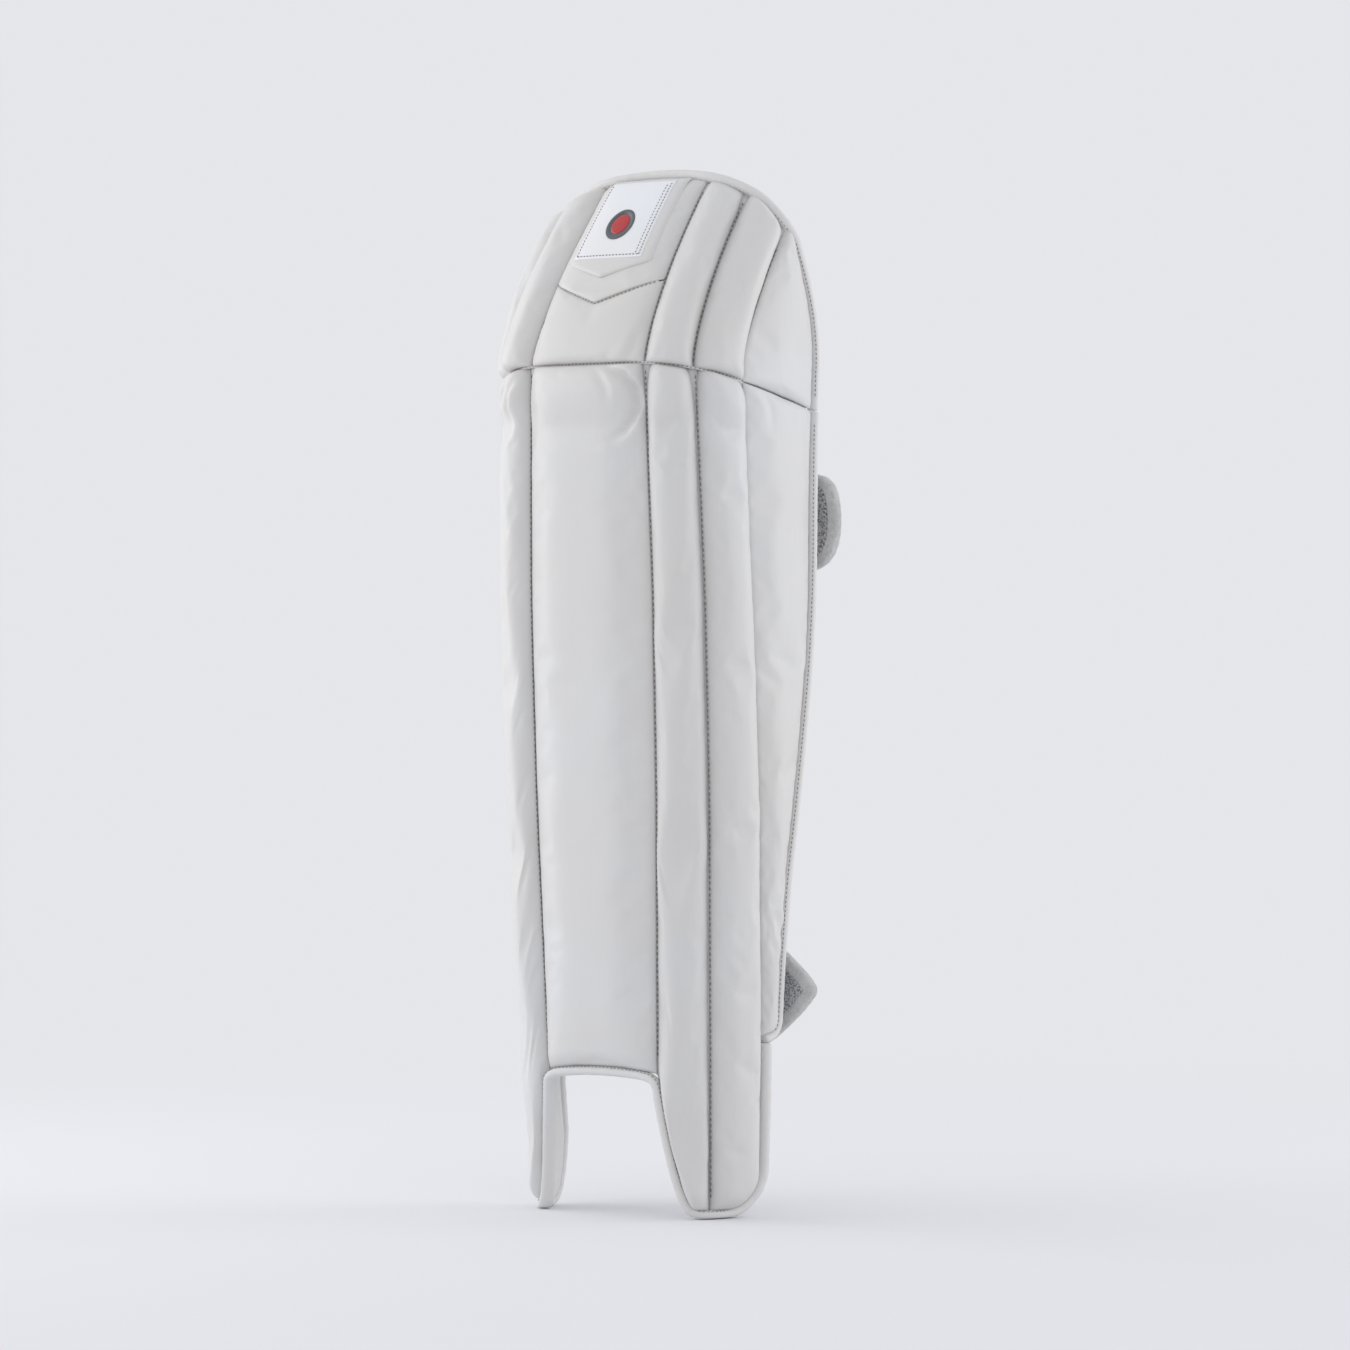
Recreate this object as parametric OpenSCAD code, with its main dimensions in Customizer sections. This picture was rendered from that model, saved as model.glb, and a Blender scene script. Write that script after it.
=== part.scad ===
// Wicket-keeping leg pad: a one-leg shin and knee guard that stands on its two leg tips.
// Millimetres, +Z up, -Y is the front (the face the ball meets), origin under the middle of the pad.
// The pad is laid out on a cross-section that changes with height:
//   segment 0  wide centre panel        segment 1  inner roll
//   segment 2  outer roll               segment 3  wing (below the knee seam) or side panel (above it)

/* [Overall] */
// height of the panels at the middle of the top arch
top_h = 641; // [560:1:700]
// height of the knee seam at the middle of the front
seam_h = 521; // [460:1:560]
// height of the instep notch between the two legs
notch_h = 91; // [60:1:130]
// slope of the knee seam down to the back, degrees
seam_drop = 12.4; // [5:0.1:20]
// how far the foot sits behind the shin front
foot_set = 20; // [0:1:40]
// how far the top arch leans back behind the knee seam
lean_back = 78; // [30:1:100]

/* [Panels] */
// half width of the centre panel at the notch
half_notch = 41; // [30:0.5:50]
// half width of the centre panel at mid shin
half_mid = 46; // [30:0.5:55]
// half width of the centre panel at the knee seam
half_seam = 42.5; // [30:0.5:50]
// half width of the centre panel at the top arch
half_top = 37.5; // [25:0.5:50]
// step back of the centre panel's side seams
crown = 5; // [0:0.5:10]
// width of the inner roll at the knee seam
inner_w = 30; // [24:0.5:38]
// width of the outer roll at the knee seam
outer_w = 35; // [26:0.5:44]
// full width of the wing under the knee seam
wing_w = 68; // [40:1:90]
// width of the wing at its lower tip
wing_tip_w = 15; // [8:0.5:30]
// height of the wing's lower tip
wing_low = 109; // [80:1:160]
// how much the outer edge of the right leg rises above its tip
right_taper = 16; // [8:1:40]
// how much the outer edge of the left leg rises above its tip
left_taper = 36; // [8:1:60]
// height where a side panel runs out on the arch
side_h = 606; // [580:1:630]

/* [Padding] */
// how far the centre panel stands out
bulge_mid = 10; // [4:0.5:18]
// how far a roll stands out
bulge_roll = 11; // [4:0.5:18]
// how far a wing stands out
bulge_wing = 6; // [3:0.5:14]
// thickness of the outer cover
skin_t = 1.6; // [0.8:0.1:3]
// thickness of the lining with its backing
lining_t = 3.4; // [2:0.1:6]
// length over which padding rounds down to a seam
edge_round = 12; // [4:1:25]
// thickness of the padded edge binding
bind_t = 9; // [4:0.5:12]
// thickness of the bolsters inside the pad
bolster_t = 11; // [6:0.5:20]

/* [Straps] */
// height of the upper strap's middle
upper_z = 425; // [380:1:450]
// height of the lower strap's middle
lower_z = 135; // [125:1:160]
// thickness of a padded strap
strap_t = 8; // [5:0.5:12]
// width of the strap webbing
web_w = 36; // [25:1:40]
// thickness of the webbing
web_t = 2; // [1:0.1:3]
// wire radius of a strap ring
wire_r = 1.7; // [1.2:0.1:2.5]

/* [Joints] */
// clearance kept between neighbouring pieces
gap = 0.35; // [0.2:0.05:1]
// clearance at the wing hinges
hinge_gap = 1.8; // [1:0.1:4]
// travel of the knee section, degrees, that the knee seam leaves room for
flex = 5; // [3:0.5:12]

/* [Pieces] */
// piece to draw

/* [Hidden] */
// shift that puts the origin under the middle of the bounding box
pad_x = -3;
pad_y = -74.2;
front_in = -3;
leather = [0.93, 0.925, 0.915];
foam = [0.86, 0.84, 0.74];
cloth = [0.9, 0.9, 0.9];
mesh_grey = [0.36, 0.36, 0.38];
fleece_grey = [0.76, 0.76, 0.76];
plastic = [0.15, 0.15, 0.16];

// ---- the cross-section and how it changes with height ----

half_tab = [[0, 38], [notch_h, half_notch], [250, half_mid - 0.8], [380, half_mid],
            [seam_h - 8, half_seam + 0.5], [seam_h, half_seam], [600, half_top + 1.5], [top_h, half_top]];
inner_tab = [[0, inner_w + 1], [300, inner_w + 1], [450, inner_w], [seam_h, inner_w - 1],
             [top_h, inner_w - 2]];
inner_ang = [[0, 38], [240, 34], [350, 31], [450, 31], [seam_h, 33], [560, 29], [top_h, 26]];
outer_tab = [[0, outer_w + 1], [100, outer_w + 3], [200, outer_w + 2], [400, outer_w], [seam_h, outer_w],
             [600, outer_w - 1.5], [top_h, outer_w - 1]];
outer_ang = [[0, 74], [240, 70], [450, 72], [seam_h, 69], [560, 58], [600, 51], [top_h, 44]];
wing_ang = [[0, 85], [350, 87], [487, 87], [560, 84], [top_h, 78]];
wing_tab = [[wing_low, wing_tip_w], [160, 20], [210, 26.5], [260, 37], [340, 54], [400, wing_w - 6],
            [460, wing_w - 1], [505, wing_w + 2]];

function mix(a, b, f) = a + (b - a) * f;
function half_w(z) = lookup(z, half_tab);
// front line seen from the side: nearly upright shin, knee section leaning back
function front_y(z) = z < seam_h ? foot_set * pow(1 - max(0, z) / seam_h, 1.3) + front_in
                                 : lean_back * pow((z - seam_h) / (top_h - seam_h), 1.35) + front_in;
// the side panel narrows to nothing on the arch
function side_w(z) = let (q = min(1, (z - seam_h) / (side_h - seam_h)))
  4 + (wing_w - 2) * pow(1 - pow(q, 1.5), 1.1);
function seg_w(k, z) = k == 0 ? 2 * half_w(z) : k == 1 ? lookup(z, inner_tab) : k == 2 ? lookup(z, outer_tab)
                       : z > seam_h ? side_w(z) : lookup(z, wing_tab);
function seg_a(k, z) = k == 0 ? 0 : k == 1 ? lookup(z, inner_ang)
                       : k == 2 ? lookup(z, outer_ang) : lookup(z, wing_ang);
// start of a segment, measured on the stitch lines
function station(k, z) = k == 0 ? [-half_w(z), front_y(z) + crown]
                       : station(k - 1, z) + seg_w(k - 1, z) * [cos(seg_a(k - 1, z)), sin(seg_a(k - 1, z))];
// point d along a segment and t out of its face; direction a defaults to the segment's own
function on_seg(k, d, t, z, a) = let (p = station(k, z), s = seg_a(k, z), n = is_undef(a) ? s : a)
  [p.x + d * cos(s) + t * sin(n), p.y + d * sin(s) - t * cos(n), z];
// face direction that turns smoothly from one segment to the next
function turn(k, f, z) = let (a = seg_a(k, z))
  f < 0.5 ? mix(k == 0 ? 0 : (seg_a(k - 1, z) + a) / 2, a, 2 * f)
          : mix(a, k == 3 ? a : (seg_a(k + 1, z) + a) / 2, 2 * f - 1);
function on_skin(k, f, t, z) = on_seg(k, f * seg_w(k, z), t, z, k == 0 && f < 0.5 ? 0 : turn(k, f, z));
function left(p) = [-p.x, p.y, p.z];

// ---- edges of the panels ----

function depth_at(k, f) = mix(station(k, 508).y, station(k + 1, 508).y, f);
function seam_z(k, f) = seam_h - (depth_at(k, f) - depth_at(0, 0)) * tan(seam_drop);
// underside of the knee section, opening to the back so that it can tip
function knee_z(k, f) = seam_z(k, f) + 1 + max(0, depth_at(k, f) - depth_at(0, 0)) * tan(flex + 0.7);
// lower edge of the shin; the left leg (s = -1) tapers more than the right one (s = 1)
function low_z(k, f, s = 1) = k == 0 ? notch_h - 3 * pow(2 * f - 1, 2)
  : k == 1 ? 4 + (notch_h - 7) * pow(1 - min(1, f / 0.7), 1.6) + 3 * max(0, 1 - 8 * f)
  : 4 + (s > 0 ? right_taper : left_taper) * pow(max(0, (f - 0.35) / 0.65), 2);
function top_z(k, f) = k == 0 ? top_h - 3 * pow(2 * f - 1, 2)
                     : k == 1 ? top_h - 3 - 9 * pow(f, 1.3)
                     : k == 2 ? top_h - 12 - (top_h - 12 - side_h) * pow(f, 1.25) : side_h;
// stitched V between the knee panel and the chevron panel above it
function vee_z(f) = seam_h + 38 + 14 * abs(2 * f - 1);

// ---- solids from rows of points ----

// closed solid between an outer and an inner grid, rows from the bottom up, columns towards +X
module slab(outer, inner) {
  m = len(outer);
  n = len(outer[0]);
  s = m * n;
  polyhedron(
    points = concat([for (r = outer) each r], [for (r = inner) each r]),
    faces = concat(
      [for (i = [0:m - 2], j = [0:n - 2]) let (a = i * n + j)
        each [[a, a + n, a + n + 1], [a, a + n + 1, a + 1]]],
      [for (i = [0:m - 2], j = [0:n - 2]) let (a = s + i * n + j)
        each [[a, a + n + 1, a + n], [a, a + 1, a + n + 1]]],
      [for (i = [0:m - 2]) let (a = i * n, b = a + n) each [[b, a, s + a], [b, s + a, s + b]]],
      [for (i = [0:m - 2]) let (a = i * n + n - 1, b = a + n) each [[a, b, s + b], [a, s + b, s + a]]],
      [for (j = [0:n - 2]) let (a = s - n + j) each [[a + 1, a, s + a], [a + 1, s + a, s + a + 1]]],
      [for (j = [0:n - 2]) each [[j, j + 1, s + j + 1], [j, s + j + 1, s + j]]]),
    convexity = 4);
}

// tube through a list of rings; closed = true joins the last ring to the first
module tube(rings, closed = false) {
  m = len(rings);
  n = len(rings[0]);
  polyhedron(
    points = [for (r = rings) each r],
    faces = concat(
      [for (i = [0:m - (closed ? 1 : 2)], j = [0:n - 1])
        let (a = i * n + j, b = i * n + (j + 1) % n, c = ((i + 1) % m) * n + j,
             d = ((i + 1) % m) * n + (j + 1) % n)
        each [[a, c, d], [a, d, b]]],
      closed ? [] : [for (j = [1:n - 2]) [0, j, j + 1]],
      closed ? [] : [for (j = [1:n - 2]) [(m - 1) * n, (m - 1) * n + j + 1, (m - 1) * n + j]]),
    convexity = 4);
}

module place() translate([pad_x, pad_y, 0]) children();
module flip() translate([pad_x, pad_y, 0]) mirror([1, 0, 0]) translate([-pad_x, -pad_y, 0]) children();

cols = [0, 0.05, 0.15, 0.32, 0.5, 0.68, 0.85, 0.95, 1];
core_cols = [0.15, 0.32, 0.5, 0.68, 0.85];
rows = [0, 0.008, 0.025, 0.06, 0.12, 0.22, 0.36, 0.5, 0.64, 0.78, 0.88, 0.94, 0.975, 0.992, 1];
core_rows = [0.06, 0.12, 0.22, 0.36, 0.5, 0.64, 0.78, 0.88, 0.94];
short_rows = [0, 0.03, 0.08, 0.18, 0.34, 0.5, 0.66, 0.82, 0.92, 0.97, 1];
short_core = [0.18, 0.34, 0.5, 0.66, 0.82];

function dome(f) = sqrt(1 - pow(abs(2 * f - 1), 2.6));
function ease(d) = let (q = min(1, d / edge_round)) sqrt(1 - pow(1 - q, 2));
function fill(b, f, d) = 0.8 + b * dome(f) * ease(d);

// grid over one segment, kept g0 and g1 off its two stitch lines
function grid(k, lo, hi, vs, fs, g0, g1, out) = [for (v = vs) [for (f = fs)
  let (za = lo(f), zb = hi(f), z = mix(za, zb, v), w = seg_w(k, z) - g0 - g1)
  on_seg(k, g0 + f * w, out(f, min(v, 1 - v) * (zb - za)), z)]];

module cover(k, b, lo, hi, vs = rows, g0 = gap, g1 = gap)
  place() slab(grid(k, lo, hi, vs, cols, g0, g1, function(f, d) fill(b, f, d)),
               grid(k, lo, hi, vs, cols, g0, g1, function(f, d) max(0, fill(b, f, d) - skin_t)));

module core(k, b, lo, hi, vs = core_rows, g0 = gap, g1 = gap)
  place() slab(grid(k, lo, hi, vs, core_cols, g0, g1, function(f, d) fill(b, f, d) - skin_t - gap),
               grid(k, lo, hi, vs, core_cols, g0, g1, function(f, d) 0.2));

// lining across the segments given as [segment, fraction] from the middle out, mirrored to the left
function wrap(list, lo, hi, vs, t) = [for (v = vs) concat(
  [for (i = [len(list) - 1:-1:1]) let (c = [list[i][0], list[i][1], -1])
    left(on_skin(c[0], c[1], t, mix(lo(c), hi(c), v)))],
  [for (p = list) let (c = [p[0], p[1], 1]) on_skin(c[0], c[1], t, mix(lo(c), hi(c), v))])];

// padded edge along a path of [segment, fraction, height], standing off the panel edge
ring_n = 8;
function edge_rings(path, r_out, r_face, sense, t0 = 1) = [for (i = [0:len(path) - 1])
  let (c = path[i], a = path[max(0, i - 1)], b = path[min(len(path) - 1, i + 1)],
       p = on_skin(c[0], c[1], t0, c[2]),
       d = on_skin(b[0], b[1], t0, b[2]) - on_skin(a[0], a[1], t0, a[2]),
       ang = turn(c[0], c[1], c[2]), n = [sin(ang), -cos(ang), 0], x = cross(d, n),
       o = sense * x / norm(x), m = cross(o, d) / norm(cross(o, d)))
  [for (j = [0:ring_n - 1]) let (q = -360 * (j + 0.5) / ring_n)
    let (v = p + o * (1.12 * r_out + gap + r_out * cos(q)) + m * r_face * sin(q)) [v.x, v.y, max(0, v.z)]]];

function both_sides(r, l) = concat([for (i = [len(l) - 1:-1:1]) [for (p = l[i]) left(p)]], r);

// ---- shin ----

leg_cols = [[0, 0.5], [0, 0.75], [0, 1], [1, 0.12], [1, 0.28], [1, 0.45], [1, 0.7], [2, 0], [2, 0.4],
            [2, 0.6], [2, 0.8], [2, 0.99]];

lining_z = function(c) low_z(c[0], c[1], c[2]) + (c[0] == 0 ? 0 : 2);

module shin_panel_cover() color(leather)
  cover(0, bulge_mid, function(f) low_z(0, f), function(f) seam_z(0, f) - 0.5);
module shin_panel_foam() color(foam)
  core(0, bulge_mid, function(f) low_z(0, f), function(f) seam_z(0, f) - 0.5);

module inner_roll_right_cover() color(leather)
  cover(1, bulge_roll, function(f) low_z(1, f), function(f) seam_z(1, f) - 0.5);
module inner_roll_left_cover() flip() inner_roll_right_cover();
module inner_roll_right_foam() color(foam)
  core(1, bulge_roll, function(f) low_z(1, f), function(f) seam_z(1, f) - 0.5);
module inner_roll_left_foam() flip() inner_roll_right_foam();

module outer_roll_cover(s) color(leather)
  cover(2, bulge_roll, function(f) low_z(2, f, s), function(f) seam_z(2, f) - 0.5, g1 = 1);
module outer_roll_foam(s) color(foam)
  core(2, bulge_roll, function(f) low_z(2, f, s), function(f) seam_z(2, f) - 0.5, g1 = 1);
module outer_roll_right_cover() outer_roll_cover(1);
module outer_roll_left_cover() flip() outer_roll_cover(-1);
module outer_roll_right_foam() outer_roll_foam(1);
module outer_roll_left_foam() flip() outer_roll_foam(-1);

module shin_lining() color(cloth) place()
  slab(wrap(leg_cols, lining_z, function(c) seam_z(c[0], c[1]) - 0.5, rows, -gap),
       wrap(leg_cols, lining_z, function(c) seam_z(c[0], c[1]) - 0.5, rows, -gap - lining_t));

// soft upright bolster inside the pad, beside the shin bone
bolster_rows = [0, 0.015, 0.05, 0.15, 0.35, 0.6, 0.85, 0.95, 0.985, 1];
module shin_bolster_right() color(cloth) place() {
  t0 = -2 * gap - lining_t;
  bol = function(out) [for (v = bolster_rows) [for (f = [0.12, 0.2, 0.35, 0.65, 0.8, 0.88])
    let (z = mix(notch_h + 45, seam_h - 60, v), e = ease(min(v, 1 - v) * (seam_h - notch_h - 105)))
    on_skin(1, f, t0 - (out ? 0 : 1 + (bolster_t - 1) * e * sqrt(1 - pow(abs(f - 0.5) / 0.39, 2.6))), z)]];
  slab(bol(true), bol(false));
}
module shin_bolster_left() flip() shin_bolster_right();

// binding from one wing tip down round both legs and over the instep notch to the other
function half_edge(s) = let (z0 = low_z(2, 0.99, s)) concat(
  [for (f = [0.5:0.125:0.92]) [0, f, low_z(0, f)]], [[0, 0.985, low_z(0, 1) - 1.5]],
  [for (f = [0.03, 0.09, 0.17, 0.26, 0.35, 0.44, 0.53, 0.62, 0.74, 0.9]) [1, f, low_z(1, f)]],
  [for (f = [0.05, 0.2, 0.35, 0.5, 0.65, 0.78, 0.88, 0.95]) [2, f, low_z(2, f, s)]],
  [for (v = [0.08, 0.2, 0.4, 0.6, 0.8, 1]) [2, 0.99, mix(z0, wing_low - 9, v)]]);
leg_rings = function(s) edge_rings(half_edge(s), 2.3, bind_t / 2, 1);
module lower_binding() color(leather) place() tube(both_sides(leg_rings(1), leg_rings(-1)));

// ---- knee section ----

arch_cols = [[0, 0.5], [0, 0.75], [0, 1], [1, 0.5], [2, 0], [2, 0.35], [2, 0.7], [3, 0], [3, 0.35], [3, 0.7],
             [3, 0.99]];

module knee_panel_cover() color(leather)
  cover(0, bulge_mid + 1, function(f) knee_z(0, f), function(f) vee_z(f) - 0.4, short_rows);
module knee_panel_foam() color(foam)
  core(0, bulge_mid + 1, function(f) knee_z(0, f), function(f) vee_z(f) - 0.4, [0.34, 0.5, 0.66]);
module chevron_panel_cover() color(leather)
  cover(0, bulge_mid + 2, function(f) vee_z(f) + 0.4, function(f) top_z(0, f), short_rows);
module chevron_panel_foam() color(foam)
  core(0, bulge_mid + 2, function(f) vee_z(f) + 0.4, function(f) top_z(0, f), short_core);

module knee_roll_cover(k, b = bulge_roll)
  cover(k, b, function(f) knee_z(k, f), function(f) top_z(k, f), short_rows);
module knee_roll_foam(k) core(k, bulge_roll, function(f) knee_z(k, f), function(f) top_z(k, f), short_core);
module knee_inner_roll_right_cover() color(leather) knee_roll_cover(1);
module knee_inner_roll_left_cover() flip() knee_inner_roll_right_cover();
module knee_inner_roll_right_foam() color(foam) knee_roll_foam(1);
module knee_inner_roll_left_foam() flip() knee_inner_roll_right_foam();
module knee_outer_roll_right_cover() color(leather) knee_roll_cover(2);
module knee_outer_roll_left_cover() flip() knee_outer_roll_right_cover();
module knee_outer_roll_right_foam() color(foam) knee_roll_foam(2);
module knee_outer_roll_left_foam() flip() knee_outer_roll_right_foam();

// thin padded triangle behind the outer roll
module side_panel_right() color(leather) place() {
  side = function(out) grid(3, function(f) knee_z(3, f), function(f) side_h - 2, short_rows,
                            [0, 0.1, 0.3, 0.5, 0.7, 0.9, 1], gap, gap, out);
  slab(side(function(f, d) 0.8 + bulge_wing * dome(f) * ease(d)), side(function(f, d) 0));
}
module side_panel_left() flip() side_panel_right();

module knee_lining() color(cloth) place() {
  lo = function(c) knee_z(c[0], c[1]);
  hi = function(c) top_z(c[0], c[1]) - 2.5;
  slab(wrap(arch_cols, lo, hi, short_rows, -gap), wrap(arch_cols, lo, hi, short_rows, -gap - lining_t));
}

// soft cup behind the knee cap
module knee_cup() color(cloth) place() {
  t0 = -2 * gap - lining_t;
  cup_cols = [[0, 0.5], [0, 0.8], [0, 1], [1, 0.3], [1, 0.6], [1, 0.85]];
  lo = function(c) knee_z(c[0], c[1]) + 10;
  hi = function(c) top_z(c[0], c[1]) - 26;
  vs = [0, 0.1, 0.25, 0.5, 0.75, 0.9, 1];
  at = function(i, v) let (c = cup_cols[i], e = i == 5 ? 0 : ease(min(v, 1 - v) * 90))
    on_skin(c[0], c[1], t0 - 1 - (bolster_t - 3) * e, mix(lo(c), hi(c), v));
  inner = [for (v = vs) concat([for (i = [5:-1:1]) left(at(i, v))], [for (i = [0:5]) at(i, v)])];
  slab(wrap(cup_cols, lo, hi, vs, t0), inner);
}

// binding over the arch, ending at the knee seam on both sides
arch_edge = concat(
  [for (f = [0.5, 0.62, 0.74, 0.86, 0.97]) [0, f, top_z(0, f)]],
  [for (f = [0.15, 0.38, 0.62, 0.86]) [1, f, top_z(1, f)]],
  [for (f = [0.12, 0.34, 0.56, 0.78, 0.94]) [2, f, top_z(2, f)]],
  [for (z = [side_h - 4, 597, 588, 578, 566, 553, 540, knee_z(3, 1) + 1]) [3, 1, z]]);
arch_rings = edge_rings(arch_edge, 2.4, bind_t / 2, -1);
module top_binding() color(leather) place() tube(both_sides(arch_rings, arch_rings));

// badge: a raised backing, a plain patch and a small plain mark
function badge_grid(f0, f1, zl, zh, t) = [for (v = [0:0.25:1]) [for (u = [0:0.25:1])
  let (f = mix(f0, f1, u), z = mix(zl, zh, v))
  on_seg(0, f * seg_w(0, z), t(f, z), z)]];
function face_t(f, z) = fill(bulge_mid + 2, f, min(top_z(0, f) - z, z - vee_z(f)));
module badge_layer(f0, f1, zl, zh, t0, t1) place()
  slab(badge_grid(f0, f1, zl, zh, function(f, z) badge_t + t1),
       badge_grid(f0, f1, zl, zh, function(f, z) badge_t + t0));
badge_t = bulge_mid + 3.2;
module badge_backing() color(leather) badge_layer(0.14, 0.86, 577, 635, 0, 2);
module badge_patch() color(cloth) badge_layer(0.18, 0.8, 586, 633, 2.3, 3.1);
module badge_emblem() color([0.55, 0.1, 0.14]) badge_layer(0.36, 0.62, 599, 620, 3.4, 4);

// ---- wings ----

module wing_right_cover() color(leather)
  cover(3, bulge_wing, function(f) wing_low + 3 * f, function(f) seam_z(3, f) - 0.5, g0 = hinge_gap);
module wing_left_cover() flip() wing_right_cover();
module wing_right_foam() color(foam)
  core(3, bulge_wing, function(f) wing_low + 3 * f, function(f) seam_z(3, f) - 0.5, g0 = hinge_gap);
module wing_left_foam() flip() wing_right_foam();
module wing_right_lining() color(cloth) place() {
  side = function(t) grid(3, function(f) wing_low + 3 * f, function(f) seam_z(3, f) - 0.5, rows,
                          [0, 0.3, 0.65, 1], 3, gap, function(f, d) t);
  slab(side(-gap), side(-gap - lining_t));
}
module wing_left_lining() flip() wing_right_lining();
wing_edge = concat(
  [[3, 0.35, wing_low + 1], [3, 0.6, wing_low + 1.5], [3, 0.85, wing_low + 2.5], [3, 0.98, wing_low + 5]],
  [for (z = [wing_low + 9, 128, 145, 165, 185, 210, 235, 260, 290, 320, 350, 380, 410, 440, 465, 482])
    [3, 1, z]],
  [[3, 1, seam_z(3, 1) - 2]]);
module wing_right_binding() color(leather) place() tube(edge_rings(wing_edge, 2.4, bind_t / 2, 1));
module wing_left_binding() flip() wing_right_binding();

// ---- strap hardware on the wings ----

// local frame on the wing's inner face: x towards the back edge, y into the leg space
module on_wing(d, z) translate(on_seg(3, d, 0, z)) rotate([0, 0, seg_a(3, z)]) children();

ring_half = 18;
upper_ring_d = 44;
upper_ring_l = 16;
lower_ring_d = 9;
lower_ring_l = 12;
ring_in = gap + lining_t + 4.9;
loop_r = wire_r + 0.4 + 1.6;

module keeper(d, z, len) place() on_wing(d, z) difference() {
  union() {
    translate([-len, gap + lining_t + 1.2, -ring_half + 1]) cube([len, 1.8, 2 * ring_half - 2]);
    translate([0, ring_in, -ring_half + 1]) cylinder(r = loop_r, h = 2 * ring_half - 2, $fn = 48);
  }
  translate([0, ring_in, -ring_half]) cylinder(r = wire_r + 0.4, h = 2 * ring_half, $fn = 48);
}
module ring(d, z, len) place() on_wing(d, z) translate([0, ring_in, 0]) {
  h = ring_half + wire_r;
  for (x = [0, len]) translate([x, 0, -h]) cylinder(r = wire_r, h = 2 * h, $fn = 32);
  for (q = [-h, h]) {
    translate([0, 0, q]) rotate([0, 90, 0]) cylinder(r = wire_r, h = len, $fn = 32);
    for (x = [0, len]) translate([x, 0, q]) sphere(r = wire_r, $fn = 32);
  }
}
module ring_keeper_upper() color(cloth) keeper(upper_ring_d, upper_z, 20);
module ring_keeper_lower() color(cloth) keeper(lower_ring_d, lower_z, 5.5);
module ring_upper() color(plastic) ring(upper_ring_d, upper_z, upper_ring_l);
module ring_lower() color(plastic) ring(lower_ring_d, lower_z, lower_ring_l);

// webbing tab sewn inside the left wing, reaching past its back edge to the strap's root
module anchor(z, len) flip() place() on_wing(seg_w(3, z) + 7.5 - len, z)
  translate([0, gap + lining_t + 1.5, -web_w / 2]) cube([len, web_t, web_w]);
module strap_anchor_upper() color(cloth) anchor(upper_z, 34);
module strap_anchor_lower() color(cloth) anchor(lower_z, 20);

// ---- straps: each lies across the back from the left wing and ends past the right wing ----

// strap = [root x, tip x, middle height, inner face depth, sag, root half height, mid half height,
//          bluntness of the tip's upper corner, lift of the tip, bluntness of its lower corner, point]
upper = [-75, 98.5, upper_z, 128, 15, 24, 33, 10, 2, 7, 0.5];
lower = [-72, 100.5, lower_z, 99.5, 13, 18, 35, 1.6, 2.5, 1.6, 0.75];
function strap_x(s, f) = mix(s[0], s[1], f);
function strap_y(s, x) = s[3] + s[4] * (x > 84 || x < -84 ? 0 : pow(cos(90 * x / 84), 1.5));
function half_h(s, f, up = true) = (s[5] + (s[6] - s[5]) * sin(150 * f))
  * pow(max(0, 1 - pow(max(0, (f - 0.72) / 0.28), up ? s[7] : s[9])), s[10]);
function strap_z(s, f) = s[2] + s[8] * pow(f, 3);
function on_strap(s, x, t, z) = [x, strap_y(s, x) + t, z];
border_w = 8.6;
function steep(s, f, up) =
  let (d = (half_h(s, f + 0.01, up) - half_h(s, f - 0.01, up)) / (0.02 * (s[1] - s[0]))) sqrt(1 + d * d);

// strip on a strap between two x positions, t0 to t1 behind its inner face
module band(s, x0, x1, hw, t0, t1, n = 10) place() {
  g = function(t) [for (z = [-hw, hw]) [for (i = [0:n]) on_strap(s, mix(x0, x1, i / n), t, s[2] + z)]];
  slab(g(t0), g(t1));
}
module strap_pad(s) place() {
  fs = [0.06, 0.1, 0.18, 0.3, 0.42, 0.54, 0.66, 0.76, 0.83, 0.87, s[10] > 0.6 ? 0.89 : 0.925];
  g = function(t) [for (v = [-1, -0.8, 0, 0.8, 1]) [for (f = fs)
    let (h = max(1, half_h(s, f, v > 0) - border_w * steep(s, f, v > 0)))
    on_strap(s, strap_x(s, f), t + (abs(v) == 1 ? (t > 4 ? -1.2 : 1.2) : 0), strap_z(s, f) + v * h)]];
  slab(g(0.8), g(strap_t - 0.4));
}
module strap_border(s) place() {
  fs = [0.03, 0.1, 0.2, 0.35, 0.5, 0.65, 0.75, 0.83, 0.89, 0.93, 0.96, 0.98, 0.993];
  path = concat([for (f = fs) [strap_x(s, f), strap_z(s, f) - half_h(s, f, false)]], [[s[1], strap_z(s, 1)]],
                [for (i = [len(fs) - 1:-1:0]) [strap_x(s, fs[i]), strap_z(s, fs[i]) + half_h(s, fs[i])]],
                [[s[0], s[2] + s[5] - 6], [s[0], s[2]], [s[0], s[2] - s[5] + 6]]);
  n = len(path);
  r = (border_w - 0.6) / 2;
  tube([for (i = [0:n - 1])
    let (d = path[(i + 1) % n] - path[(i + n - 1) % n], o = [d.y, -d.x] / norm(d), c = path[i] - o * r)
    [for (j = [0:ring_n - 1]) let (q = 360 * (j + 0.5) / ring_n, p = c + o * r * cos(q) / cos(22.5))
      on_strap(s, p.x, strap_t / 2 + (strap_t / 2) * sin(q), p.y)]], closed = true);
}
module strap_pad_upper() color(mesh_grey) strap_pad(upper);
module strap_pad_lower() color(mesh_grey) strap_pad(lower);
module strap_border_upper() color(fleece_grey) strap_border(upper);
module strap_border_lower() color(fleece_grey) strap_border(lower);
web_y = strap_t + 0.2;
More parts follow.
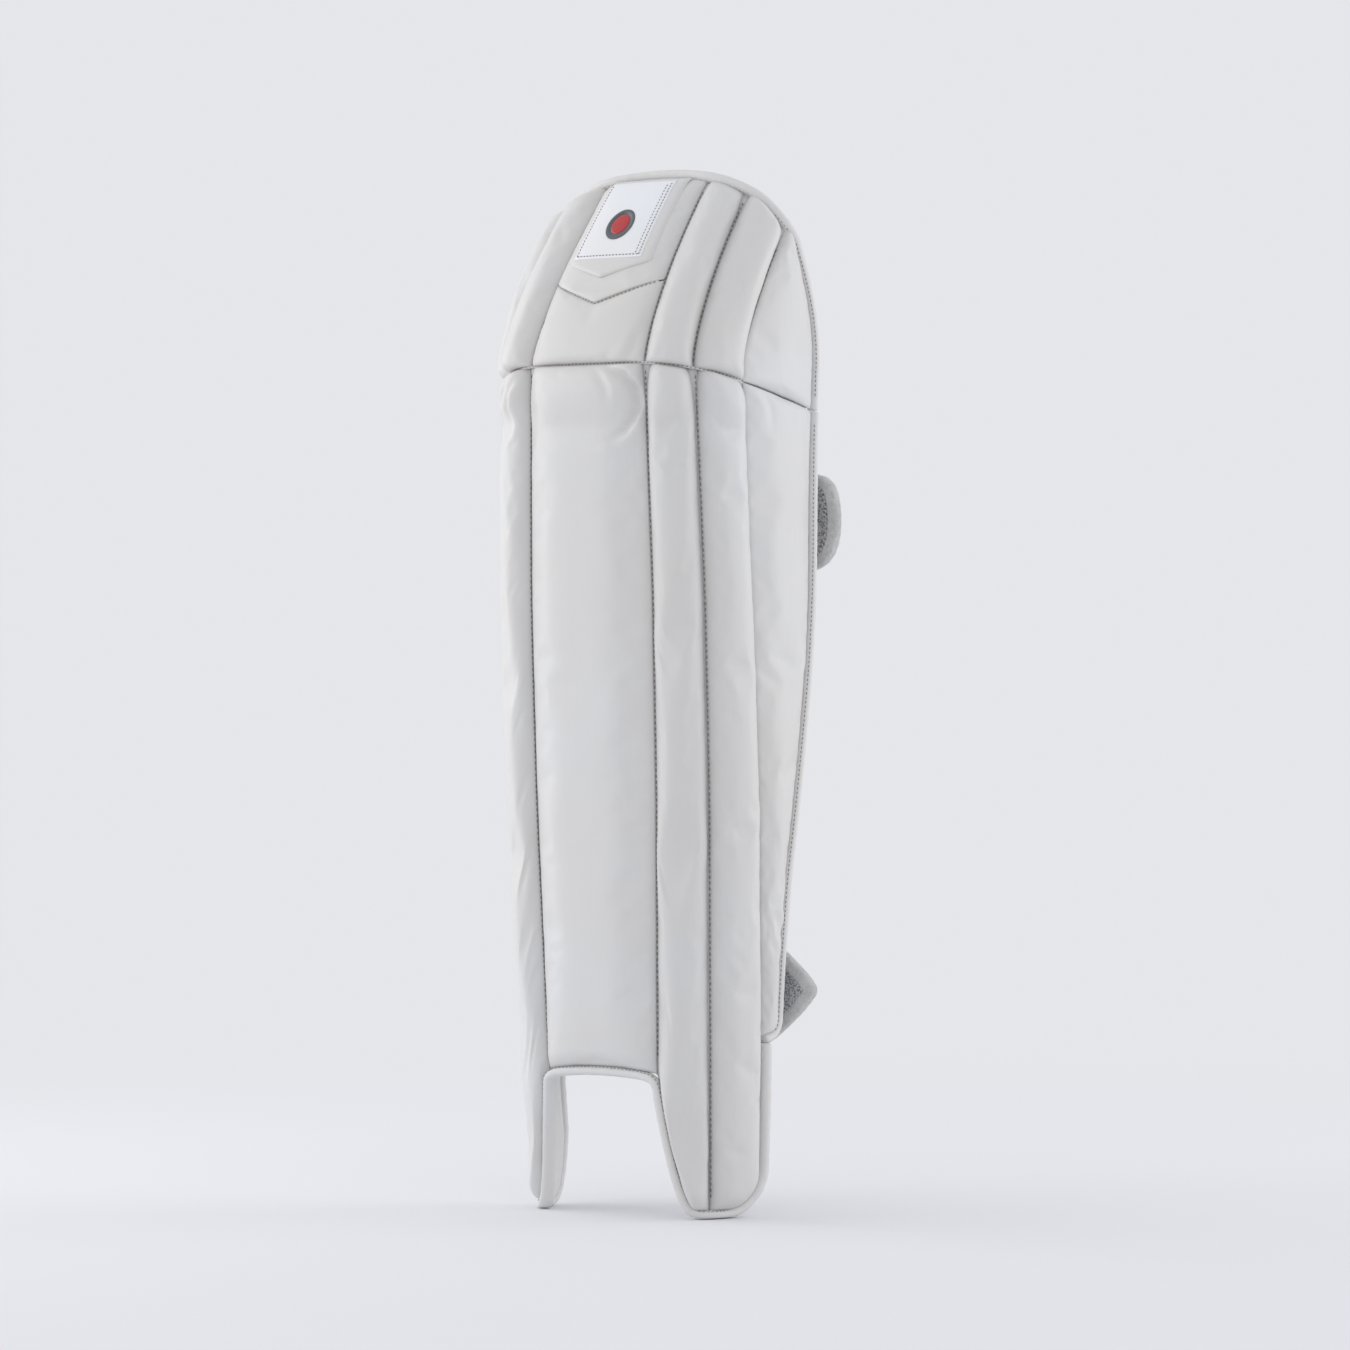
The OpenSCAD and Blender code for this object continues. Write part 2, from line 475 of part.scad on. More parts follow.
module strap_webbing_upper() color(cloth)
  band(upper, upper[0] + 11, 62, web_w / 2, web_y, web_y + web_t, 12);
module strap_webbing_lower() color(cloth)
  band(lower, lower[0] + 11, 58, web_w / 2 - 4, web_y, web_y + web_t, 12);

// free end of the webbing, folded back on itself and held by a hook patch
hook_t = 1.2;
tongue_y = strap_t + 0.2 + web_t + 2 * gap + hook_t;
module tongue_upper() color(cloth) band(upper, -26, 65, 14, tongue_y, tongue_y + web_t, 9);
module tongue_lower() color(cloth) band(lower, -24, 61, 12, tongue_y, tongue_y + web_t, 9);
hook_y = tongue_y - gap - hook_t;
module hook_patch_upper() color(mesh_grey) band(upper, -22, 28, 13, hook_y, hook_y + hook_t, 5);
module hook_patch_lower() color(mesh_grey) band(lower, -20, 26, 11, hook_y, hook_y + hook_t, 5);

shin_panel_cover();
shin_panel_foam();
shin_lining();
lower_binding();
inner_roll_right_cover();
inner_roll_left_cover();
inner_roll_right_foam();
inner_roll_left_foam();
outer_roll_right_cover();
outer_roll_left_cover();
outer_roll_right_foam();
outer_roll_left_foam();
shin_bolster_right();
shin_bolster_left();
knee_panel_cover();
knee_panel_foam();
chevron_panel_cover();
chevron_panel_foam();
badge_backing();
badge_patch();
badge_emblem();
knee_inner_roll_right_cover();
knee_inner_roll_left_cover();
knee_inner_roll_right_foam();
knee_inner_roll_left_foam();
knee_outer_roll_right_cover();
knee_outer_roll_left_cover();
knee_outer_roll_right_foam();
knee_outer_roll_left_foam();
side_panel_right();
side_panel_left();
knee_lining();
knee_cup();
top_binding();
wing_right_cover();
wing_left_cover();
wing_right_foam();
wing_left_foam();
wing_right_lining();
wing_left_lining();
wing_right_binding();
wing_left_binding();
ring_keeper_upper();
ring_keeper_lower();
strap_anchor_upper();
strap_anchor_lower();
strap_pad_upper();
strap_pad_lower();
strap_border_upper();
strap_border_lower();
strap_webbing_upper();
strap_webbing_lower();
tongue_upper();
tongue_lower();
hook_patch_upper();
hook_patch_lower();
ring_upper();
ring_lower();
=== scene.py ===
import math

import bpy
import numpy as np
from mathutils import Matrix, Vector, noise


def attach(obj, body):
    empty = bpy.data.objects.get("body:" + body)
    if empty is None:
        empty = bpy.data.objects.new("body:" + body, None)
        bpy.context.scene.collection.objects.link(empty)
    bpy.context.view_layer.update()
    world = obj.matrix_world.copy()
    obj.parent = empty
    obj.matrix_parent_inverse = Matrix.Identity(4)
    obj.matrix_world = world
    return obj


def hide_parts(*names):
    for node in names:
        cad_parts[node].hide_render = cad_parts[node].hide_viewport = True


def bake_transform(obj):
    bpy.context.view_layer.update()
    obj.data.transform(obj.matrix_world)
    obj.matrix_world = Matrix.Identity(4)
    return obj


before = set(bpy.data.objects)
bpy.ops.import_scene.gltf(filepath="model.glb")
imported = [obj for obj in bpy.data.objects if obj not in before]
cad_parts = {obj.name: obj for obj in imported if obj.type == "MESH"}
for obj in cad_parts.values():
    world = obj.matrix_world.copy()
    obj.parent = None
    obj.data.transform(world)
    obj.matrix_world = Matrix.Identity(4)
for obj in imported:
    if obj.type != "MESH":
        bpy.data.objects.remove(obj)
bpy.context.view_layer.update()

# ---------------------------------------------------------------------------
# Driving dimensions, in mm, the same as the CAD's
# ---------------------------------------------------------------------------
TOP_H, SEAM_H, NOTCH_H, SIDE_H, WING_LOW = 641.0, 521.0, 91.0, 606.0, 109.0
SEAM_DROP = math.radians(12.4)
FOOT_SET, LEAN_BACK, FRONT_IN, CROWN = 20.0, 78.0, -3.0, 5.0
INNER_W, OUTER_W, WING_W, WING_TIP_W = 30.0, 35.0, 68.0, 15.0
HALF_NOTCH, HALF_MID, HALF_SEAM, HALF_TOP = 41.0, 46.0, 42.5, 37.5
BULGE_MID, BULGE_ROLL, BULGE_WING = 10.0, 11.0, 6.0
LINING_T, BOLSTER_T, STRAP_T, WEB_W = 3.4, 11.0, 8.0, 36.0
UPPER_Z, LOWER_Z = 425.0, 135.0
RIGHT_TAPER, LEFT_TAPER = 16.0, 36.0
OX, OY = -3.0, -74.2                      # the CAD's shift of the pad's own origin
MM = 0.001
DEPTH_Z = 508.0                            # height at which the pad's depth is taken
PANEL_W, KNEE_PANEL_W = 86.0, 84.0         # widths that the centre panels' folds are drawn in
SOFT_CAP = 2.4                             # how far the cloth step may move a cover

# ---------------------------------------------------------------------------
# The pad's cross-section and how it changes with height
# ---------------------------------------------------------------------------
ZG = np.arange(-20.0, 700.0, 1.0)


def smooth(tab, sigma=12):
    z, v = zip(*tab)
    k = np.exp(-0.5 * (np.arange(-40, 41) / sigma) ** 2)
    y = np.pad(np.interp(ZG, z, v), 40, mode="edge")
    return np.convolve(y, k / k.sum(), "valid")


T_HALF = smooth([(0, 38), (NOTCH_H, HALF_NOTCH), (250, HALF_MID - 0.8), (380, HALF_MID),
                 (SEAM_H - 8, HALF_SEAM + 0.5),
                 (SEAM_H, HALF_SEAM), (600, HALF_TOP + 1.5), (TOP_H, HALF_TOP)])
T_INNER = smooth([(0, INNER_W + 1), (300, INNER_W + 1), (450, INNER_W), (SEAM_H, INNER_W - 1),
                  (TOP_H, INNER_W - 2)])
A_INNER = smooth([(0, 38), (240, 34), (350, 31), (450, 31), (SEAM_H, 33), (560, 29), (TOP_H, 26)])
T_OUTER = smooth([(0, OUTER_W + 1), (100, OUTER_W + 3), (200, OUTER_W + 2), (400, OUTER_W),
                  (SEAM_H, OUTER_W),
                  (600, OUTER_W - 1.5), (TOP_H, OUTER_W - 1)])
A_OUTER = smooth([(0, 74), (240, 70), (450, 72), (SEAM_H, 69), (560, 58), (600, 51), (TOP_H, 44)])
A_WING = smooth([(0, 85), (350, 87), (487, 87), (560, 84), (TOP_H, 78)])
T_WING = smooth([(WING_LOW, WING_TIP_W), (160, 20), (210, 26.5), (260, 37), (340, 54), (400, WING_W - 6),
                 (460, WING_W - 1),
                 (505, WING_W + 2)])


def lut(tab, z):
    return np.interp(z, ZG, tab)


def front_y(z):
    z = np.asarray(z, float)
    low = FOOT_SET * np.power(np.clip(1 - np.maximum(z, 0) / SEAM_H, 0, 1), 1.3) + FRONT_IN
    high = LEAN_BACK * np.power(np.clip((z - SEAM_H) / (TOP_H - SEAM_H), 0, 2), 1.35) + FRONT_IN
    return np.where(z < SEAM_H, low, high)


def side_w(z):
    q = np.clip((z - SEAM_H) / (SIDE_H - SEAM_H), 0, 1)
    return 4 + (WING_W - 2) * np.power(1 - np.power(q, 1.5), 1.1)


def seg_w(k, z):
    z = np.asarray(z, float)
    if k == 0:
        return 2 * lut(T_HALF, z)
    if k == 1:
        return lut(T_INNER, z)
    if k == 2:
        return lut(T_OUTER, z)
    b = np.clip((z - SEAM_H + 6) / 12, 0, 1)
    return lut(T_WING, z) * (1 - b) + side_w(z) * b


def seg_a(k, z):
    z = np.asarray(z, float)
    return np.radians(lut((None, A_INNER, A_OUTER, A_WING)[k], z)) if k else np.zeros_like(z)


def station(k, z):
    z = np.asarray(z, float)
    x, y = -lut(T_HALF, z), front_y(z) + CROWN
    for i in range(k):
        w, a = seg_w(i, z), seg_a(i, z)
        x, y = x + w * np.cos(a), y + w * np.sin(a)
    return x, y


def turn(k, f, z):
    a = seg_a(k, z)
    before = 0 * a if k == 0 else (seg_a(k - 1, z) + a) / 2
    after = a if k == 3 else (seg_a(k + 1, z) + a) / 2
    return np.where(f < 0.5, before + (a - before) * 2 * f, a + (after - a) * (2 * f - 1))


def face(k, f, t, z, side=1, wrap=False, g0=0.0, g1=0.0):
    """Points in metres at fraction f across segment k, height z and t mm out of its face.

    Side 1 is the right of the pad and side -1 its left.
    """
    f, t, z = np.broadcast_arrays(np.asarray(f, float), np.asarray(t, float), np.asarray(z, float))
    x, y = station(k, z)
    a, d = seg_a(k, z), g0 + f * (seg_w(k, z) - g0 - g1)
    n = turn(k, f, z) if wrap else a
    px, py = x + d * np.cos(a) + t * np.sin(n), y + d * np.sin(a) - t * np.cos(n)
    return np.stack([(side * px + OX) * MM, (py + OY) * MM, z * MM], -1)


def depth_at(k, f):
    return station(k, DEPTH_Z)[1] * (1 - f) + station(k + 1, DEPTH_Z)[1] * f


def seam_z(k, f):
    return SEAM_H + 0.25 - (depth_at(k, f) - depth_at(0, 0)) * math.tan(SEAM_DROP)


def low_z(k, f, side=1):
    """Lower edge; the left leg tapers more than the right one."""
    f = np.asarray(f, float)
    if k == 0:
        return NOTCH_H - 3 * (2 * f - 1) ** 2
    if k == 1:
        return 4 + (NOTCH_H - 7) * np.power(1 - np.minimum(1, f / 0.7), 1.6) + 3 * np.maximum(0, 1 - 8 * f)
    if k == 2:
        return 4 + (RIGHT_TAPER if side > 0 else LEFT_TAPER) * np.maximum(0, (f - 0.35) / 0.65) ** 2
    return WING_LOW + 3 * f


def top_z(k, f):
    f = np.asarray(f, float)
    if k == 0:
        return TOP_H - 3 * (2 * f - 1) ** 2
    if k == 1:
        return TOP_H - 3 - 9 * np.power(f, 1.3)
    if k == 2:
        return TOP_H - 12 - (TOP_H - 12 - SIDE_H) * np.power(f, 1.25)
    return SIDE_H + 0 * f


def vee_z(f):
    return SEAM_H + 38 + 14 * np.abs(2 * np.asarray(f, float) - 1)


def ease(d, r):
    q = np.clip(d / r, 0, 1)
    return np.sqrt(1 - (1 - q) ** 2)


def bump_at(d, w):
    return np.exp(-(d / w) ** 2)


def wobble(p, scale, seed):
    """Smooth repeatable noise at points in metres, about -1 to 1."""
    flat = p.reshape(-1, 3) / scale
    off = Vector((seed * 3.7, seed * 1.3, seed * 7.1))
    return np.array([noise.noise(Vector(v) + off) for v in flat]).reshape(p.shape[:-1])


# ---------------------------------------------------------------------------
# Meshes
# ---------------------------------------------------------------------------
MATS = {}


def outward(verts, faces):
    """The faces turned so that a closed mesh's volume is positive."""
    vol = 0.0
    for n in (3, 4):
        f = np.array([q for q in faces if len(q) == n], int).reshape(-1, n)
        for i in range(1, n - 1):
            vol += np.einsum("ij,ij->", verts[f[:, 0]],
                             np.cross(verts[f[:, i]], verts[f[:, i + 1]])) if len(f) else 0.0
    return verts, faces if vol >= 0 else [tuple(reversed(f)) for f in faces]


def add_mesh(name, verts, faces, mat, subdiv=0, smooth_shade=True):
    verts, faces = outward(np.asarray(verts, float), faces)
    me = bpy.data.meshes.new(name)
    me.from_pydata([tuple(map(float, v)) for v in verts], [], [tuple(map(int, f)) for f in faces])
    me.validate()
    ob = bpy.data.objects.new(name, me)
    bpy.context.scene.collection.objects.link(ob)
    if smooth_shade:
        me.polygons.foreach_set("use_smooth", [True] * len(me.polygons))
    me.materials.append(MATS[mat])
    me.update()
    if subdiv:
        m = ob.modifiers.new("subdiv", "SUBSURF")
        m.levels = m.render_levels = subdiv
    return ob


def flipped(points):
    """Points in metres mirrored to the other side of the pad."""
    m = points.copy()
    m[..., 0] = 2 * OX * MM - m[..., 0]
    return m


def both_sides(p, n, p_left, n_left):
    """A line and its directions over both sides: the left half, given as if on the right, is mirrored."""
    n_flip = n_left[1:][::-1] * (-1, 1, 1)
    return np.concatenate([flipped(p_left[1:][::-1]), p]), np.concatenate([n_flip, n])


def closed_grid(front, back, side=1):
    """Closed mesh whose front and back grids share their rim: rows upward, columns towards +X."""
    m, n = front.shape[:2]
    verts = list(front.reshape(-1, 3))
    idx_b = np.arange(m * n).reshape(m, n).copy()
    extra = 0
    for i in range(1, m - 1):
        for j in range(1, n - 1):
            idx_b[i, j] = m * n + extra
            verts.append(back[i, j])
            extra += 1
    faces = []
    for i in range(m - 1):
        for j in range(n - 1):
            a, b, c, d = i * n + j, i * n + j + 1, (i + 1) * n + j + 1, (i + 1) * n + j
            faces.append((a, b, c, d) if side > 0 else (d, c, b, a))
            a, b, c, d = idx_b[i, j], idx_b[i, j + 1], idx_b[i + 1, j + 1], idx_b[i + 1, j]
            faces.append((d, c, b, a) if side > 0 else (a, b, c, d))
    return np.array(verts), faces


def tube_mesh(rings, closed=False):
    m, n = rings.shape[:2]
    faces = []
    for i in range(m if closed else m - 1):
        for j in range(n):
            a, b = i * n + j, i * n + (j + 1) % n
            c, d = ((i + 1) % m) * n + (j + 1) % n, ((i + 1) % m) * n + j
            faces.append((a, b, c, d))
    verts = list(rings.reshape(-1, 3))
    if not closed:
        for i, flip in ((0, True), (m - 1, False)):
            verts.append(rings[i].mean(0))
            c = len(verts) - 1
            for j in range(n):
                a, b = i * n + j, i * n + (j + 1) % n
                faces.append((b, a, c) if flip else (a, b, c))
    return np.array(verts), faces


def unit(v):
    return v / np.maximum(np.linalg.norm(v, axis=-1, keepdims=True), 1e-12)


def stitch_row(name, pts, nrm, mat="thread", pitch=3.4, length=2.5, r=0.38, sink=0.1, tilt=0.0):
    """A row of sewn thread stitches laid along points on a surface, one small rounded bead a stitch."""
    pts, nrm = np.asarray(pts), unit(np.asarray(nrm))
    seg = np.linalg.norm(np.diff(pts, axis=0), axis=1)
    s = np.concatenate([[0], np.cumsum(seg)]) / MM
    count = max(1, int(s[-1] / pitch))
    at = (np.arange(count) + 0.5) * s[-1] / count
    c = np.stack([np.interp(at, s, pts[:, i]) for i in range(3)], -1)
    n = unit(np.stack([np.interp(at, s, nrm[:, i]) for i in range(3)], -1))
    ahead = np.stack([np.interp(at + 0.5, s, pts[:, i]) for i in range(3)], -1)
    behind = np.stack([np.interp(at - 0.5, s, pts[:, i]) for i in range(3)], -1)
    t = unit(ahead - behind)
    b = unit(np.cross(n, t))
    t = unit(t * math.cos(tilt) + b * math.sin(tilt))
    b = unit(np.cross(n, t))
    sides, prof = 6, [(-0.5, 0.0), (-0.42, 0.62), (-0.2, 0.95), (0.2, 0.95), (0.42, 0.62), (0.5, 0.0)]
    verts, faces = [], []
    for q in range(count):
        base = len(verts)
        for u, rad in prof:
            lift = r - sink - u ** 2 * r * 2.2
            for j in range(sides):
                ang = 2 * math.pi * j / sides
                verts.append(c[q] + (t[q] * u * length + b[q] * math.cos(ang) * r * max(rad, 0.05)
                                     + n[q] * (lift + math.sin(ang) * r * 0.8 * max(rad, 0.05))) * MM)
        for i in range(len(prof) - 1):
            for j in range(sides):
                a, d = base + i * sides + j, base + i * sides + (j + 1) % sides
                faces.append((a, d, d + sides, a + sides))
    return add_mesh(name, verts, faces, mat)


# ---------------------------------------------------------------------------
# Materials
# ---------------------------------------------------------------------------


def material(name, slot, build):
    m = bpy.data.materials.new(name)
    m.use_nodes = True
    nt = m.node_tree
    nt.nodes.clear()
    out = nt.nodes.new("ShaderNodeOutputMaterial")
    bsdf = nt.nodes.new("ShaderNodeBsdfPrincipled")
    nt.links.new(bsdf.outputs[0], out.inputs[0])
    build(nt, bsdf)
    MATS[slot] = m
    return m


def node(nt, kind, **sets):
    n = nt.nodes.new(kind)
    for k, v in sets.items():
        if k in n.inputs:
            n.inputs[k].default_value = v
        else:
            setattr(n, k, v)
    return n


def coords(nt, scale=(1, 1, 1)):
    tc = node(nt, "ShaderNodeTexCoord")
    mp = node(nt, "ShaderNodeMapping")
    mp.inputs["Scale"].default_value = scale
    nt.links.new(tc.outputs["Object"], mp.inputs["Vector"])
    return mp.outputs["Vector"]


def noise_tex(nt, vec, scale, detail=3.0, rough=0.55):
    n = node(nt, "ShaderNodeTexNoise")
    n.inputs["Scale"].default_value = scale
    n.inputs["Detail"].default_value = detail
    n.inputs["Roughness"].default_value = rough
    nt.links.new(vec, n.inputs["Vector"])
    return n.outputs["Fac"]


def ramp(nt, fac, stops):
    r = node(nt, "ShaderNodeValToRGB")
    while len(r.color_ramp.elements) < len(stops):
        r.color_ramp.elements.new(0.5)
    for e, (p, c) in zip(r.color_ramp.elements, stops):
        e.position = p
        e.color = (*c, 1)
    nt.links.new(fac, r.inputs["Fac"])
    return r.outputs["Color"]


def mix_rgb(nt, fac, a, b):
    m = node(nt, "ShaderNodeMix", data_type="RGBA")
    for sock, v in ((m.inputs[0], fac), (m.inputs[6], a), (m.inputs[7], b)):
        if hasattr(v, "is_output"):
            nt.links.new(v, sock)
        elif isinstance(v, (int, float)):
            sock.default_value = v
        else:
            sock.default_value = (*v, 1)
    return m.outputs[2]


def math_node(nt, op, a, b=0.0):
    m = node(nt, "ShaderNodeMath", operation=op)
    for sock, v in ((m.inputs[0], a), (m.inputs[1], b)):
        if hasattr(v, "is_output"):
            nt.links.new(v, sock)
        else:
            sock.default_value = v
    return m.outputs[0]


def stretch(nt, fac, span, low):
    """A factor times span plus low."""
    r = math_node(nt, "MULTIPLY_ADD", fac, span)
    r.node.inputs[2].default_value = low
    return r


def tint(nt, col, other, fac, start, end, most=1.0):
    """Colour that turns to other as the factor rises from start to end, at most by the share given."""
    return mix_rgb(nt, ramp(nt, fac, [(start, (0, 0, 0)), (end, (most, most, most))]), col, other)


def shade(col, by):
    return tuple(min(1, c * by) for c in col)


def bump(nt, height, strength, dist, normal=None):
    b = node(nt, "ShaderNodeBump")
    b.inputs["Strength"].default_value = strength
    b.inputs["Distance"].default_value = dist
    nt.links.new(height, b.inputs["Height"])
    if normal is not None:
        nt.links.new(normal, b.inputs["Normal"])
    return b.outputs["Normal"]


def voronoi(nt, vec, scale, feature="DISTANCE_TO_EDGE"):
    v = node(nt, "ShaderNodeTexVoronoi", feature=feature)
    v.inputs["Scale"].default_value = scale
    nt.links.new(vec, v.inputs["Vector"])
    return v.outputs["Distance"]


def leather(base=(0.70, 0.695, 0.69), grain=0.16, coat=0.0):
    """Smooth white coated leather: fine pebble grain, faint drag lines, slight yellowing and scuffs."""

    def build(nt, bsdf):
        v = coords(nt)
        streak = coords(nt, (1, 1, 0.045))
        fine = voronoi(nt, v, 950)
        pores = noise_tex(nt, v, 2600, 2)
        soft = noise_tex(nt, v, 26, 4)
        lines = noise_tex(nt, streak, 420, 3)
        blotch = noise_tex(nt, v, 9, 3)
        warm = tuple(c * f for c, f in zip(base, (0.985, 0.965, 0.93)))
        cool = tuple(min(1, c * f) for c, f in zip(base, (1.0, 1.005, 1.015)))
        col = tint(nt, cool, warm, blotch, 0.35, 0.75)
        col = tint(nt, col, shade(base, 0.955), lines, 0.42, 0.8, 0.35)
        scuff = noise_tex(nt, coords(nt, (1, 1, 0.35)), 95, 6, 0.7)
        col = tint(nt, col, shade(base, 0.93), scuff, 0.66, 0.8, 0.5)
        nt.links.new(col, bsdf.inputs["Base Color"])
        nt.links.new(stretch(nt, soft, 0.16, 0.40), bsdf.inputs["Roughness"])
        n1 = bump(nt, fine, grain, 0.00025)
        n2 = bump(nt, pores, 0.10, 0.0002, n1)
        n3 = bump(nt, lines, 0.07, 0.0005, n2)
        n4 = bump(nt, soft, 0.16, 0.0022, n3)
        nt.links.new(n4, bsdf.inputs["Normal"])
        bsdf.inputs["Specular IOR Level"].default_value = 0.42
        bsdf.inputs["Coat Weight"].default_value = coat
        bsdf.inputs["Coat Roughness"].default_value = 0.35
    return build


def woven(a, b, scale, depth, rough=0.85, sheen=0.3, slant=0.0):
    """Plain woven cloth: crossing yarns with colour and height from two wave patterns, plus loose fuzz."""
    def build(nt, bsdf):
        tc = node(nt, "ShaderNodeTexCoord")
        mp = node(nt, "ShaderNodeMapping")
        mp.inputs["Rotation"].default_value = (0, slant, 0)
        nt.links.new(tc.outputs["Object"], mp.inputs["Vector"])
        sep = node(nt, "ShaderNodeSeparateXYZ")
        nt.links.new(mp.outputs["Vector"], sep.inputs[0])
        across = math_node(nt, "ADD", sep.outputs["X"], sep.outputs["Y"])
        wa = math_node(nt, "SINE", math_node(nt, "MULTIPLY", across, scale))
        wb = math_node(nt, "SINE", math_node(nt, "MULTIPLY", sep.outputs["Z"], scale))
        weave = math_node(nt, "MULTIPLY", wa, wb)
        h = stretch(nt, weave, 0.5, 0.5)
        fuzz = noise_tex(nt, mp.outputs["Vector"], 900, 4, 0.7)
        tone = noise_tex(nt, mp.outputs["Vector"], 22, 3)
        col = mix_rgb(nt, h, a, b)
        col = tint(nt, col, shade(a, 0.86), tone, 0.3, 0.8, 0.5)
        col = tint(nt, col, shade(b, 1.25), fuzz, 0.45, 0.8, 0.4)
        nt.links.new(col, bsdf.inputs["Base Color"])
        nt.links.new(stretch(nt, fuzz, 0.15, rough - 0.08), bsdf.inputs["Roughness"])
        n1 = bump(nt, h, 0.7, depth)
        nt.links.new(bump(nt, fuzz, 0.35, depth * 0.8, n1), bsdf.inputs["Normal"])
        bsdf.inputs["Sheen Weight"].default_value = sheen
        bsdf.inputs["Sheen Roughness"].default_value = 0.5
        bsdf.inputs["Specular IOR Level"].default_value = 0.25
    return build


def air_mesh(dark, light, scale):
    """Spacer mesh: rows of small holes in a grey knit; their near-black colour is painted shade inside the
    holes.
    """
    def build(nt, bsdf):
        v = coords(nt, (1, 0.25, 1))
        cell = voronoi(nt, v, scale, "F1")
        # mask of the holes, which get the dark colour as painted shade inside them
        hole_shade = ramp(nt, cell, [(0.28, (0, 0, 0)), (0.5, (1, 1, 1))])
        fib = noise_tex(nt, v, scale * 3, 4, 0.7)
        col = mix_rgb(nt, hole_shade, dark, light)
        col = tint(nt, col, shade(light, 1.5), fib, 0.4, 0.85, 0.5)
        nt.links.new(col, bsdf.inputs["Base Color"])
        nt.links.new(stretch(nt, fib, 0.2, 0.7), bsdf.inputs["Roughness"])
        nt.links.new(bump(nt, fib, 0.3, 0.0004, bump(nt, hole_shade, 0.9, 0.0008)), bsdf.inputs["Normal"])
        bsdf.inputs["Sheen Weight"].default_value = 0.35
        bsdf.inputs["Sheen Roughness"].default_value = 0.5
    return build


def fuzzy(col0, col1, scale=520, depth=0.0012, sheen=0.8):
    """Brushed fleece or loop pile: a clumpy short nap."""
    def build(nt, bsdf):
        v = coords(nt)
        clump = noise_tex(nt, v, scale, 5, 0.75)
        big = noise_tex(nt, v, scale * 0.16, 3)
        col = tint(nt, col0, col1, clump, 0.3, 0.72)
        col = mix_rgb(nt, ramp(nt, big, [(0.35, (0.45, 0.45, 0.45)), (0.7, (0, 0, 0))]), col,
                      shade(col0, 0.8))
        nt.links.new(col, bsdf.inputs["Base Color"])
        nt.links.new(stretch(nt, clump, 0.1, 0.86), bsdf.inputs["Roughness"])
        nt.links.new(bump(nt, big, 0.4, depth, bump(nt, clump, 1.0, depth)), bsdf.inputs["Normal"])
        bsdf.inputs["Sheen Weight"].default_value = sheen
        bsdf.inputs["Sheen Roughness"].default_value = 0.55
        bsdf.inputs["Specular IOR Level"].default_value = 0.2
    return build


def plastic(base, rough=0.34):
    """Moulded plastic with a slight haze."""
    def build(nt, bsdf):
        v = coords(nt)
        fine = noise_tex(nt, v, 1500, 3)
        big = noise_tex(nt, v, 120, 3)
        nt.links.new(tint(nt, base, shade(base, 0.88), big, 0.35, 0.75), bsdf.inputs["Base Color"])
        nt.links.new(stretch(nt, big, 0.14, rough), bsdf.inputs["Roughness"])
        nt.links.new(bump(nt, fine, 0.25, 0.0001), bsdf.inputs["Normal"])
    return build


def thread(base):
    """Sewing thread: a tight diagonal twist."""
    def build(nt, bsdf):
        v = coords(nt)
        w = node(nt, "ShaderNodeTexWave", wave_type="BANDS", bands_direction="DIAGONAL")
        w.inputs["Scale"].default_value = 700
        w.inputs["Distortion"].default_value = 1.5
        nt.links.new(v, w.inputs["Vector"])
        tone = noise_tex(nt, v, 60, 2)
        col = mix_rgb(nt, w.outputs["Fac"], shade(base, 0.8), base)
        nt.links.new(tint(nt, col, shade(base, 0.75), tone, 0.35, 0.8, 0.4), bsdf.inputs["Base Color"])
        nt.links.new(stretch(nt, tone, 0.2, 0.55), bsdf.inputs["Roughness"])
        nt.links.new(bump(nt, w.outputs["Fac"], 0.5, 0.0002), bsdf.inputs["Normal"])
        bsdf.inputs["Sheen Weight"].default_value = 0.2
    return build


material("white_leather", "leather", leather())
material("white_binding_leather", "binding", leather((0.72, 0.715, 0.71), 0.2))
material("white_lining_cloth", "lining",
         woven((0.70, 0.69, 0.685), (0.80, 0.79, 0.785), 4200, 0.00035, sheen=0.4))
material("bolster_cloth", "bolster", fuzzy((0.66, 0.655, 0.65), (0.82, 0.81, 0.805), 620, 0.0008, 0.6))
# the first, near-black colour is painted shade inside the mesh's holes
material("grey_air_mesh", "mesh", air_mesh((0.11, 0.11, 0.12), (0.44, 0.44, 0.46), 700))
material("grey_fleece", "fleece", fuzzy((0.50, 0.50, 0.495), (0.82, 0.82, 0.81), 560, 0.0014))
material("white_webbing", "webbing", woven((0.62, 0.615, 0.61), (0.82, 0.81, 0.80), 2600, 0.0007, 0.7, 0.3))
material("hook_tape", "hook", fuzzy((0.42, 0.42, 0.42), (0.78, 0.78, 0.775), 1300, 0.0012, 0.2))
material("white_ring_plastic", "ring", plastic((0.72, 0.72, 0.71)))
material("white_thread", "thread", thread((0.74, 0.73, 0.72)))
material("grey_thread", "grey_thread", thread((0.27, 0.235, 0.22)))
material("badge_gloss", "badge", leather((0.83, 0.85, 0.88), 0.05, 0.25))
material("badge_red", "badge_red", leather((0.47, 0.02, 0.025), 0.05, 0.4))
material("badge_grey", "badge_dark", leather((0.10, 0.105, 0.12), 0.05, 0.3))

# ---------------------------------------------------------------------------
# Padded covers
# ---------------------------------------------------------------------------


